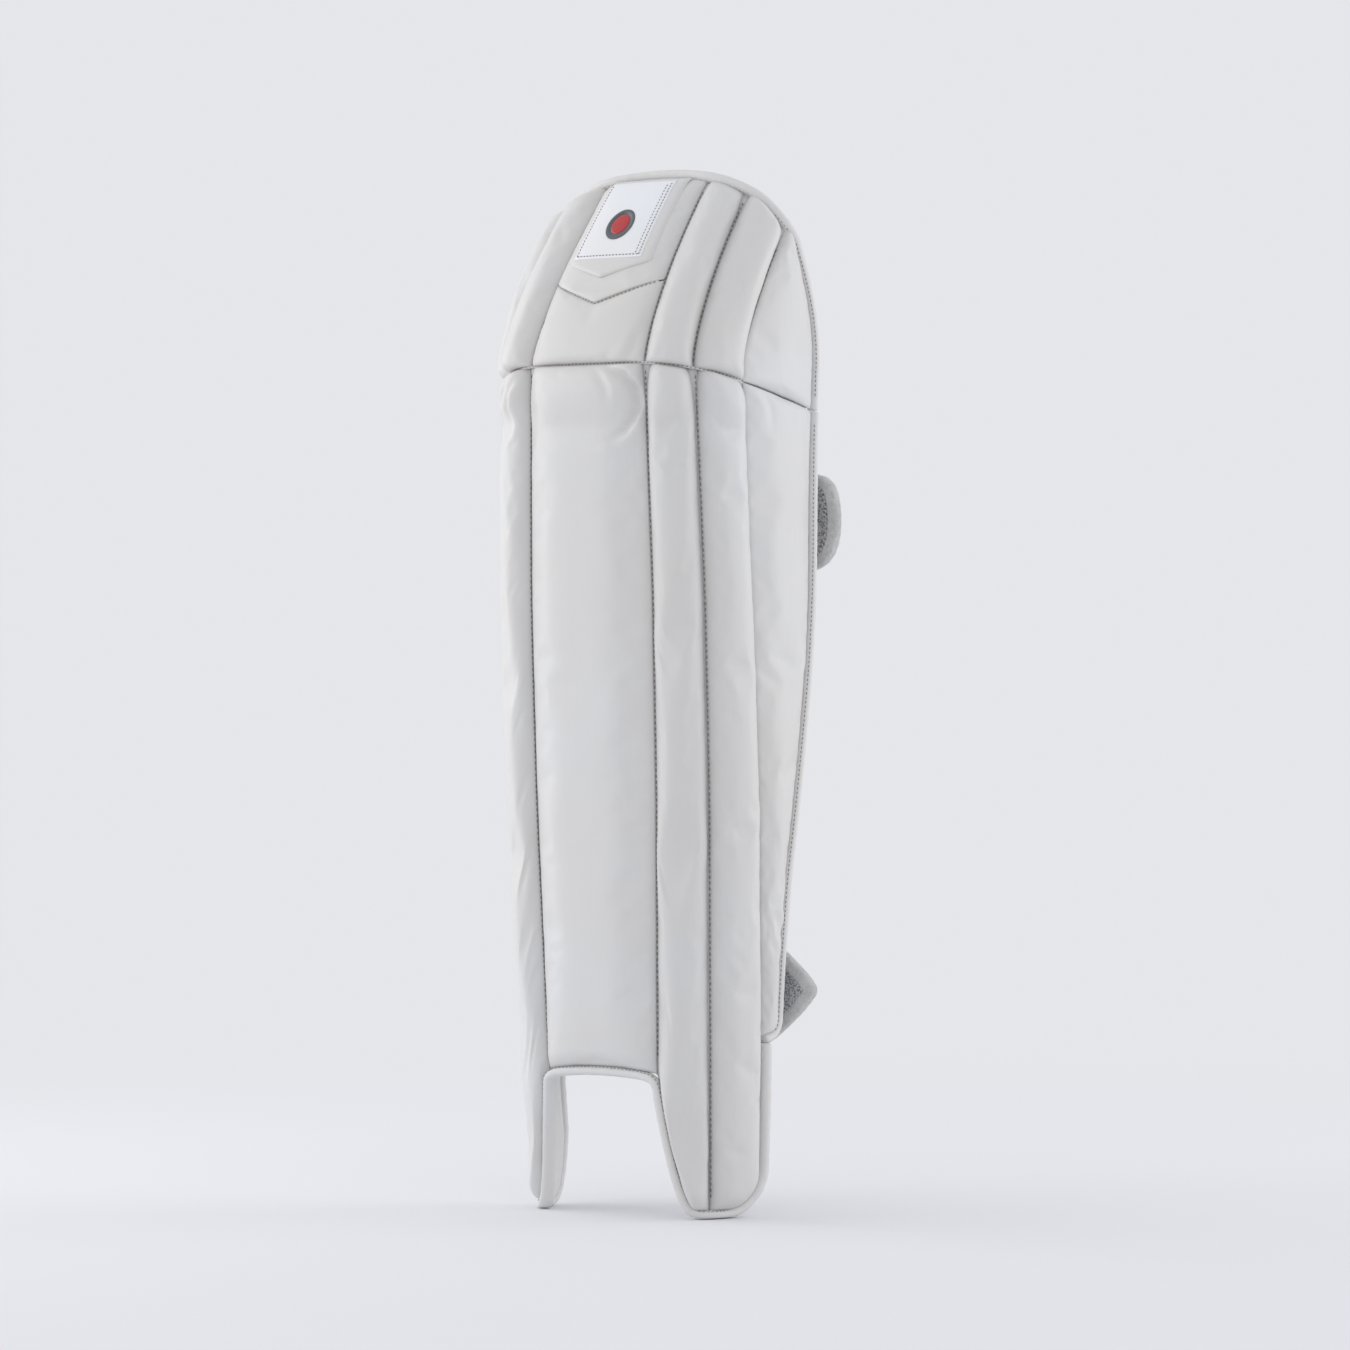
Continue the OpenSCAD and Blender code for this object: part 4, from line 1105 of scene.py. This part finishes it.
def badge_mark():
    """A plain round mark that follows the badge's crown, as rings of points from the middle out."""
    f_mid, z_mid, count = 0.48, 609.5, 48
    radii = [0.4, 5.2, 6.0, 6.2, 7.0, 7.2, 9.4, 9.7, 9.7, 6.0, 0.4]
    rise = [0.75, 0.75, 0.6, 0.25, 0.25, 0.65, 0.65, 0.5, 0.05, 0.05, 0.05]
    w = float(seg_w(0, z_mid))
    verts, faces = [], []
    for r, up in zip(radii, rise):
        a = np.arange(count) * 2 * np.pi / count
        verts += list(chevron_face(f_mid + r * np.cos(a) / w, z_mid + r * np.sin(a), 3.7 + up))
    for i in range(len(radii) - 1):
        for j in range(count):
            p, q = i * count + j, i * count + (j + 1) % count
            faces.append((p, q, q + count, p + count))
    ob = add_mesh("badge_round_mark", verts, faces, "badge_red")
    ob.data.materials.append(MATS["badge_dark"])
    for i, p in enumerate(ob.data.polygons):
        p.material_index = 1 if 3 <= i // count <= 7 else 0
    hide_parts("badge_emblem")
    return ob


mark = badge_mark()

# ---------------------------------------------------------------------------
# Straps
# ---------------------------------------------------------------------------
UPPER = dict(x0=-75.0, x1=98.5, z=UPPER_Z, y=128.0, sag=15.0, root=24.0, mid=33.0, hi=10.0, lo=7.0,
             lift=2.0, point=0.5)
LOWER = dict(x0=-72.0, x1=100.5, z=LOWER_Z, y=99.5, sag=13.0, root=18.0, mid=37.0, hi=1.6, lo=1.6, lift=2.5,
             point=0.75)
BORDER_W = 8.6
WEB_T, HOOK_T = 1.7, 1.0
WEB_AT, HOOK_AT, TONGUE_AT = 9.2, 11.15, 13.1   # middles of the layers, out from the strap's inner face


def strap_y(s, x):
    x = np.asarray(x, float)
    return s["y"] + s["sag"] * np.where(np.abs(x) > 84, 0,
                                        np.power(np.clip(np.cos(np.radians(90 * x / 84)), 0, 1), 1.5))


def on_strap(s, x, t, z):
    x, t, z = np.broadcast_arrays(np.asarray(x, float), np.asarray(t, float), np.asarray(z, float))
    return np.stack([(x + OX) * MM, (strap_y(s, x) + t + OY) * MM, z * MM], -1)


def half_h(s, f, up=True):
    f = np.asarray(f, float)
    tip = np.clip((f - 0.72) / 0.28, 0, 1) ** s["hi" if up else "lo"]
    return (s["root"] + (s["mid"] - s["root"]) * np.sin(np.radians(150 * f))) * np.clip(1 - tip, 0,
            1) ** s["point"]


def strap_z(s, f):
    return s["z"] + s["lift"] * np.asarray(f, float) ** 3


def strap_outline(s, step=1.6):
    f = 0.03 + 0.97 * np.sin(np.linspace(0, np.pi / 2, 220))
    x = s["x0"] + (s["x1"] - s["x0"]) * f
    low = np.stack([x, strap_z(s, f) - half_h(s, f, False)], -1)
    high = np.stack([x, strap_z(s, f) + half_h(s, f)], -1)[::-1]
    root = np.array([[s["x0"], s["z"] + s["root"] - 6], [s["x0"], s["z"]],
                     [s["x0"], s["z"] - s["root"] + 6]])
    p = np.concatenate([low, high[1:], root])
    q = np.concatenate([p, p[:1]])
    arc = np.concatenate([[0], np.cumsum(np.linalg.norm(np.diff(q, axis=0), axis=1))])
    n = int(arc[-1] / step)
    at = np.arange(n) * arc[-1] / n
    p = np.stack([np.interp(at, arc, q[:, i]) for i in range(2)], -1)
    for _ in range(6):
        p = 0.25 * np.roll(p, 1, 0) + 0.5 * p + 0.25 * np.roll(p, -1, 0)
    return p


def inset(p, d):
    t = unit(np.roll(p, -2, 0) - np.roll(p, 2, 0))
    return p + np.stack([-t[:, 1], t[:, 0]], -1) * d


def strap_set(s, word):
    body = "strap_" + word
    outline = strap_outline(s)
    r = (BORDER_W - 0.4) / 2
    mid = inset(outline, r)
    tan = unit(np.roll(mid, -1, 0) - np.roll(mid, 1, 0))
    out = np.stack([tan[:, 1], -tan[:, 0]], -1)
    q = np.arange(18) * 2 * np.pi / 18
    c, sn = np.sign(np.cos(q)) * np.abs(np.cos(q)) ** 0.75, np.sign(np.sin(q)) * np.abs(np.sin(q)) ** 0.75
    arc = np.concatenate([[0], np.cumsum(np.linalg.norm(np.diff(mid, axis=0), axis=1))])
    puff = 1 + 0.03 * np.sin(arc * 1.1) + 0.05 * wobble(on_strap(s, mid[:, 0], 4, mid[:, 1]), 0.02, 5)
    dip = 1 - 0.2 * bump_at(np.abs(c) - 0.02, 0.16)
    x = mid[:, None, 0] + out[:, None, 0] * r * c[None] * puff[:, None]
    z = mid[:, None, 1] + out[:, None, 1] * r * c[None] * puff[:, None]
    t = STRAP_T / 2 + STRAP_T / 2 * sn[None] * puff[:, None] * dip[None]
    rings = on_strap(s, x, t, z)
    verts, faces = tube_mesh(rings, closed=True)
    border = add_mesh(f"strap_{word}_fleece_border", verts, faces, "fleece", 1)
    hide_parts("strap_border_" + word)
    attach(border, body)

    inner = inset(outline, BORDER_W - 1.3)
    xs = np.linspace(inner[:, 0].min() + 0.05, inner[:, 0].max() - 0.05, 110)
    turn_at = inner[:, 0].argmax()
    low_line, high_line = inner[:turn_at + 1], inner[turn_at:]
    low_line = low_line[np.argsort(low_line[:, 0])]
    high_line = high_line[np.argsort(high_line[:, 0])]
    zb = np.interp(xs, low_line[:, 0], low_line[:, 1])
    za = np.interp(xs, high_line[:, 0], high_line[:, 1])
    v = (np.sin(np.linspace(-np.pi / 2, np.pi / 2, 33)) + 1) / 2
    X = np.broadcast_to(xs, (len(v), len(xs)))
    Z = zb + (za - zb) * v[:, None]
    edge = np.minimum(np.minimum(Z - zb, za - Z), np.minimum(X - xs[0], xs[-1] - X))
    rise = ease(np.maximum(edge, 0), 5.0)
    base = on_strap(s, X, 4, Z)
    soft = 0.35 * wobble(base, 0.03, 9) + 0.15 * wobble(base, 0.009, 4)
    rib = 0.22 * np.abs(np.sin(Z * math.pi / 9.0)) ** 0.5
    front = on_strap(s, X, 4.0 - (2.6 + soft + rib) * (0.3 + 0.7 * rise), Z)
    back = on_strap(s, X, 4.0 + (2.6 + 0.4 * soft) * (0.3 + 0.7 * rise), Z)
    verts, faces = closed_grid(back, front, 1)
    pad = add_mesh(f"strap_{word}_mesh_pad", verts, faces, "mesh", 1)
    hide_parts("strap_pad_" + word)
    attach(pad, body)

    for d, tag, deep, pitch, mat, tilt in ((BORDER_W - 0.9, "inner", 0.25, 3.0, "thread", 0.9),
                                           (r + 0.2, "outer", 0.9, 3.4, "grey_thread", 0.0)):
        line = inset(outline, d)
        for face_tag, t_at, way in (("a", STRAP_T - deep, 1), ("b", deep, -1)):
            pts = on_strap(s, line[:, 0], t_at, line[:, 1])
            nrm = np.zeros_like(pts) + np.array([0, way, 0])
            ob = stitch_row(f"strap_{word}_stitch_{tag}_{face_tag}", np.concatenate([pts, pts[:1]]),
                            np.concatenate([nrm, nrm[:1]]), mat, pitch, 2.3, 0.36, 0.05, tilt)
            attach(ob, body)


def ribbon(name, pts, width, thick, mat, nw=12, wave=0.12, seed=1):
    """A strip of webbing with soft edges along points in metres; its width runs upright."""
    pts = np.asarray(pts)
    t = unit(np.gradient(pts, axis=0))
    up = np.array([0, 0, 1.0])
    n = unit(np.cross(t, up))
    hw, ht = width / 2, thick / 2
    u = np.linspace(-1, 1, nw)
    sec = [(hw * a, ht * (1 - 0.55 * abs(a) ** 14)) for a in u] + [(hw + 0.35, 0)]
    sec += [(hw * a, -ht * (1 - 0.55 * abs(a) ** 14)) for a in u[::-1]] + [(-hw - 0.35, 0)]
    sec = np.array(sec)
    lift = wave * wobble(pts, 0.012, seed)
    rings = (pts[:, None] + up * (sec[None, :, 0] * MM)[..., None]
             + n[:, None] * ((sec[None, :, 1] + lift[:, None]) * MM)[..., None])
    verts, faces = tube_mesh(rings)
    ob = add_mesh(name, verts, faces, mat, 1)
    return ob


def strap_ribbon(name, s, xa, xb, width, t_mid, thick, mat, node_name, body, seed=1):
    x = np.linspace(xa, xb, 90)
    ob = ribbon(name, on_strap(s, x, t_mid, np.full_like(x, s["z"])), width, thick, mat,
                seed=seed)
    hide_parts(node_name)
    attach(ob, body)
    return ob


def box_stitch(name, s, xa, xb, hw, t, body, way=1):
    corners = [(xa, -hw), (xb, -hw), (xb, hw), (xa, hw), (xa, -hw), (xb, hw), (xb, -hw), (xa, hw)]
    pts = []
    for (x0, z0), (x1, z1) in zip(corners[:-1], corners[1:]):
        n = max(2, int(math.hypot(x1 - x0, z1 - z0) / 1.5))
        pts += [(x0 + (x1 - x0) * i / n, z0 + (z1 - z0) * i / n) for i in range(n)]
    pts.append(corners[-1])
    p = np.array(pts)
    w = on_strap(s, p[:, 0], t, s["z"] + p[:, 1])
    ob = stitch_row(name, w, np.zeros_like(w) + np.array([0, way, 0]), "thread", 3.0, 2.2, 0.34)
    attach(ob, body)


for s, word, x_end, hw, tx0, tx1, thw, hx0, hx1, hhw in ((UPPER, "upper", 62, 18, -26, 65, 14, -22, 28, 13),
                                                         (LOWER, "lower", 58, 14, -24, 61, 12, -20, 26,
                                                          11)):
    strap_set(s, word)
    strap_ribbon(f"strap_{word}_webbing", s, s["x0"] + 11, x_end, 2 * hw - 0.8, WEB_AT, WEB_T, "webbing",
                 "strap_webbing_" + word, "strap_" + word, 3)
    strap_ribbon(f"tongue_{word}_webbing", s, tx0, tx1, 2 * thw - 0.8, TONGUE_AT, WEB_T, "webbing",
                 "tongue_" + word, "tongue_" + word, 4)
    strap_ribbon(f"hook_patch_{word}_tape", s, hx0, hx1, 2 * hhw - 0.8, HOOK_AT, HOOK_T, "hook",
                 "hook_patch_" + word, "tongue_" + word, 5)
    box_stitch(f"strap_{word}_box_stitch_root", s, s["x0"] + 15, s["x0"] + 34, hw - 5, 10.1,
               "strap_" + word)
    box_stitch(f"tongue_{word}_box_stitch", s, hx0 + 2, hx1 - 2, hhw - 2.5, 14.0, "tongue_" + word)

# ---------------------------------------------------------------------------
# Rings, their keepers and the strap anchors, on the inner faces of the wings
# ---------------------------------------------------------------------------
RING_IN, WIRE_R, RING_HALF = 0.35 + LINING_T + 4.9, 1.7, 18.0


def on_wing(d, z, lx, ly, lz, side=1):
    """Point in metres at (lx along the wing, ly into the leg space, lz up) from distance d on the wing."""
    x, y = station(3, z)
    a = float(seg_a(3, z))
    px = x + (d + lx) * math.cos(a) - ly * math.sin(a)
    py = y + (d + lx) * math.sin(a) + ly * math.cos(a)
    lz = np.asarray(lz, float) + 0 * np.asarray(px, float)
    return np.stack([(side * px + OX) * MM, (py + OY) * MM, (z + lz) * MM], -1)


def rounded_ring(word, d, z, length):
    h, rc = RING_HALF + WIRE_R, 1.2
    path = []
    for cx, cz, a0 in ((length - rc, h - rc, 0), (rc, h - rc, 90), (rc, -h + rc, 180),
                       (length - rc, -h + rc, 270)):
        for i in range(5):
            a = math.radians(a0 + 90 * i / 4)
            path.append((cx + rc * math.cos(a), cz + rc * math.sin(a)))
    dense = []
    for (ax, az), (bx, bz) in zip(path, path[1:] + path[:1]):
        n = max(1, int(math.hypot(bx - ax, bz - az) / 2.5))
        dense += [(ax + (bx - ax) * i / n, az + (bz - az) * i / n) for i in range(n)]
    c = np.array(dense)
    t = unit(np.roll(c, -1, 0) - np.roll(c, 1, 0))
    o = np.stack([t[:, 1], -t[:, 0]], -1)
    q = np.arange(14) * 2 * np.pi / 14
    lx = c[:, None, 0] + o[:, None, 0] * WIRE_R * np.cos(q)
    lz = c[:, None, 1] + o[:, None, 1] * WIRE_R * np.cos(q)
    ly = RING_IN + WIRE_R * np.sin(q)[None] + 0 * lx
    verts, faces = tube_mesh(on_wing(d, z, lx, ly, lz), closed=True)
    ob = add_mesh(f"ring_{word}_moulded", verts, faces, "ring", 1)
    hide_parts("ring_" + word)
    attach(ob, "ring_" + word)


def keeper(word, d, z, length):
    a = np.linspace(-90, 232, 30)
    lx = np.concatenate([np.linspace(-length, -0.6, 12), 2.9 * np.cos(np.radians(a))])
    ly = np.concatenate([np.full(12, 5.85), RING_IN + 2.9 * np.sin(np.radians(a))])
    ob = ribbon(f"ring_keeper_{word}_webbing", on_wing(d, z, lx, ly, 0.0), 2 * RING_HALF - 3.4, 1.5,
                "webbing",
                wave=0.0)
    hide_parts("ring_keeper_" + word)
    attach(ob, "wing_right")


rounded_ring("upper", 44.0, UPPER_Z, 16.0)
rounded_ring("lower", 9.0, LOWER_Z, 12.0)
keeper("upper", 44.0, UPPER_Z, 20.0)
keeper("lower", 9.0, LOWER_Z, 5.5)
for z, length, word in ((UPPER_Z, 34.0, "upper"), (LOWER_Z, 20.0, "lower")):
    d_end = float(seg_w(3, z)) + 7.5
    lx = np.linspace(-length, 0, 30)
    ob = ribbon(f"strap_anchor_{word}_webbing", on_wing(d_end, z, lx, 6.25 + 0 * lx, 0.0, -1), WEB_W - 0.8,
                WEB_T, "webbing",
                wave=0.05)
    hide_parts("strap_anchor_" + word)
    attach(ob, "wing_left")

# ---------------------------------------------------------------------------
# Sewing
# ---------------------------------------------------------------------------


def channel_row(name, k, z0, z1, side, t=-0.05):
    """Stitches up the channel at the inner edge of segment k."""
    z = np.arange(z0, z1, 2.0)
    pts = face(k, 0.0, t, z, side)
    a = turn(k, 0.0, z) if k else 0 * z
    nrm = np.stack([side * np.sin(a), -np.cos(a), 0 * a], -1)
    return stitch_row(name, pts, nrm, "grey_thread", 3.6, 2.4, 0.4, 0.05)


def seam_line(spans, height, t, mirror_half):
    pts, nrm = [], []
    for k, f0, f1, n in spans:
        f = np.linspace(f0, f1, n)
        z = np.array([height(k, q) for q in f])
        pts.append(face(k, f, t(k, f, z), z, wrap=True))
        a = np.array([float(turn(k, q, zz)) for q, zz in zip(f, z)])
        nrm.append(np.stack([np.sin(a), -np.cos(a), 0 * a], -1))
    pts, nrm = np.concatenate(pts), np.concatenate(nrm)
    if mirror_half:
        pts, nrm = both_sides(pts, nrm, pts, nrm)
    return pts, nrm


def seam_row(name, spans, height, t, mirror_half):
    """Small stitches along a seam, nearly in line with it."""
    pts, nrm = seam_line(spans, height, t, mirror_half)
    return stitch_row(name, pts, nrm, "grey_thread", 2.7, 1.7, 0.27, 0.05, 0.2)


def seam_cord(name, spans, height, t, mirror_half, r=0.8):
    """The turned-in edges of two covers, which fill the bottom of the seam between them."""
    pts, nrm = seam_line(spans, height, t, mirror_half)
    pts = pts - nrm * (0.3 + r) * MM
    up = unit(np.cross(unit(np.gradient(pts, axis=0)), nrm))
    q = np.arange(10) * 2 * np.pi / 10
    rings = pts[:, None] + r * MM * (nrm[:, None] * np.cos(q)[None, :, None] + up[:, None]
                                     * np.sin(q)[None, :, None])
    verts, faces = tube_mesh(rings)
    ob = add_mesh(name, verts, faces, "leather")
    return ob


def to_knee(ob):
    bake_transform(ob)


def to_wing(ob):
    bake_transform(ob)


sew_up()
for name, (ob, body) in made.items():
    if body == "knee":
        to_knee(ob)
    elif body.startswith("wing"):
        to_wing(ob)
    else:
        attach(ob, body)
for ob in (bind_top, knee_lining):
    to_knee(ob)
for ob in (bind_low, shin_lining):
    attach(ob, "shin")
for ob, side in ((bind_wing, 1), (bind_wing_l, -1), (wing_lining, 1), (wing_lining_l, -1)):
    to_wing(ob)

for side, word in ((1, "right"), (-1, "left")):
    for k, tag in ((1, "inner"), (2, "outer")):
        z_lo = float(low_z(k, 0.0)) + 8
        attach(channel_row(f"stitch_channel_{tag}_{word}", k, z_lo, seam_z(k, 0.0) - 3, side,
                            0.1 if k == 1 else 1.6), "shin")
        to_knee(channel_row(f"stitch_knee_channel_{tag}_{word}", k, seam_z(k, 0.0) + 3,
                            float(top_z(k, 0.0)) - 6, side,
                            0.1))
    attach(channel_row(f"stitch_channel_wing_{word}", 3, 120, seam_z(3, 0.0) - 4, side, 0.8), "shin")
    to_knee(channel_row(f"stitch_knee_channel_side_{word}", 3, seam_z(3, 0.0) + 3, SIDE_H - 12, side))


def seam_top(k, f, z):
    """Height of the knee seam's stitches on the covers' crowns."""
    return crown_t(k, f, z, (BULGE_MID + 1) if k == 0 else (BULGE_ROLL + 0.6), 3.2, lift_lo=SEAM_LIFT, lo=z)


def vee_top(k, f, z):
    return crown_t(k, f, z, BULGE_MID + 1.5, 3.2, lift_lo=VEE_LIFT, lo=z)


KNEE_SEAM = [(0, 0.5, 0.97, 24), (1, 0.1, 0.9, 16), (2, 0.1, 0.92, 18)]
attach(seam_cord("seam_allowance_knee", KNEE_SEAM, seam_z, seam_top, True), "shin")
to_knee(seam_cord("seam_allowance_vee", [(0, 0.05, 0.96, 60)], lambda k, f: float(vee_z(f)), vee_top,
                  False))
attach(seam_row("stitch_knee_seam", [(0, 0.5, 0.96, 24), (1, 0.12, 0.88, 16), (2, 0.12, 0.9, 18)], seam_z,
                 seam_top,
                 True), "shin")
to_knee(seam_row("stitch_vee", [(0, 0.06, 0.95, 60)], lambda k, f: float(vee_z(f)), vee_top, False))
for name, p, n, o, inward, up in (("wing_right", wing_p, wing_n, wing_o, 0.7, 3.2),
                                  ("lower", low_p, low_n, low_o, 0.3, 3.3),
                                  ("top", top_p, top_n, top_o, 0.7, 3.3)):
    row = stitch_row("stitch_binding_" + name, p[3:-3] - o[3:-3] * inward * MM + n[3:-3] * up * MM,
                     unit(n - o)[3:-3], "grey_thread", 2.8, 1.8, 0.3, 0.1)
    if name == "lower":
        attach(row, "shin")
    elif name == "top":
        to_knee(row)
    else:
        left_row = mirrored(row, "stitch_binding_wing_left")
        to_wing(row)
        to_wing(left_row)
for tag, u0, u1, v0, v1 in (("left", 0.05, 0.05, 0.04, 0.96), ("right", 0.95, 0.95, 0.04, 0.96),
                            ("right_in", 0.9, 0.9, 0.06, 0.94),
                            ("low", 0.05, 0.95, 0.05, 0.05)):
    u, v = np.linspace(u0, u1, 60), np.linspace(v0, v1, 60)
    f, z = patch_outline(u, v)
    pts = chevron_face(f, z, 3.42)
    nrm = np.zeros_like(pts) + np.array([0, -1.0, 0])
    to_knee(stitch_row("stitch_patch_" + tag, pts, nrm, "grey_thread", 2.4, 1.7, 0.3, 0.05))
for ob in (backing, patch, mark):
    to_knee(ob)

# ---------------------------------------------------------------------------
# Camera, floor and light
# ---------------------------------------------------------------------------
scene = bpy.context.scene
AZ, DIST, EYE = math.radians(35.0), 3.3, 0.3316
target = Vector((0.04125, -0.0432, EYE))
cam_data = bpy.data.cameras.new("camera")
cam = bpy.data.objects.new("camera", cam_data)
scene.collection.objects.link(cam)
cam.location = target + Vector((math.sin(AZ), -math.cos(AZ), 0)) * DIST
cam.rotation_mode = "QUATERNION"
cam.rotation_quaternion = (target - cam.location).to_track_quat("-Z", "Y")
cam_data.lens, cam_data.sensor_width = 144.1, 36.0
cam_data.clip_start, cam_data.clip_end = 0.05, 60
scene.camera = cam


def floor_build(nt, bsdf):
    """Matt pale paper that fades into the studio's own light away from the object."""
    v = coords(nt)
    tone = noise_tex(nt, v, 1.1, 2)
    nt.links.new(tint(nt, (0.815, 0.82, 0.845), (0.805, 0.81, 0.835), tone, 0.3, 0.7),
                 bsdf.inputs["Base Color"])
    nt.links.new(stretch(nt, tone, 0.05, 0.9), bsdf.inputs["Roughness"])
    bsdf.inputs["Specular IOR Level"].default_value = 0.05
    glow = node(nt, "ShaderNodeEmission")
    glow.inputs["Color"].default_value = (*BACKDROP, 1)
    far = node(nt, "ShaderNodeVectorMath", operation="LENGTH")
    nt.links.new(v, far.inputs[0])
    fade = node(nt, "ShaderNodeMapRange", interpolation_type="SMOOTHERSTEP")
    fade.inputs["From Min"].default_value = 0.25
    fade.inputs["From Max"].default_value = 1.5
    nt.links.new(far.outputs["Value"], fade.inputs["Value"])
    mixed = node(nt, "ShaderNodeMixShader")
    nt.links.new(fade.outputs["Result"], mixed.inputs["Fac"])
    nt.links.new(bsdf.outputs[0], mixed.inputs[1])
    nt.links.new(glow.outputs[0], mixed.inputs[2])
    out = next(n for n in nt.nodes if n.type == "OUTPUT_MATERIAL")
    nt.links.new(mixed.outputs[0], out.inputs[0])


BACKDROP = (0.785, 0.793, 0.822)
material("studio_floor", "floor", floor_build)
fv = [(60 * math.cos(a), 60 * math.sin(a), -0.0005) for a in np.arange(24) * math.pi / 12]
floor = add_mesh("studio_floor", fv, [tuple(range(24))], "floor", smooth_shade=False)

world = bpy.data.worlds.new("studio")
scene.world = world
world.use_nodes = True
bg = world.node_tree.nodes["Background"]
bg.inputs["Color"].default_value = (*BACKDROP, 1)
bg.inputs["Strength"].default_value = 1.0


LIGHT_AIM = Vector((0.0, -0.02, 0.33))


def softbox(name, where, size, power):
    """A rectangular area light at a place, turned to the pad."""
    data = bpy.data.lights.new(name, "AREA")
    data.shape = "RECTANGLE"
    data.size, data.size_y = size
    data.energy = power
    ob = bpy.data.objects.new(name, data)
    scene.collection.objects.link(ob)
    ob.location = where
    ob.rotation_mode = "QUATERNION"
    ob.rotation_quaternion = (LIGHT_AIM - Vector(where)).to_track_quat("-Z", "Y")


def around(az_deg, dist, height):
    """Place on a circle round the pad: 0 is the camera's side, positive to the camera's right."""
    a = AZ + math.radians(az_deg)
    return (math.sin(a) * dist, -math.cos(a) * dist, height)


softbox("soft_left", around(-84, 2.0, 0.9), (1.5, 1.9), 9)
softbox("soft_left_back", around(-118, 2.0, 0.8), (1.2, 1.9), 11)
softbox("soft_right", around(98, 2.1, 0.42), (1.4, 1.9), 16)
scene.view_settings.view_transform = "Standard"
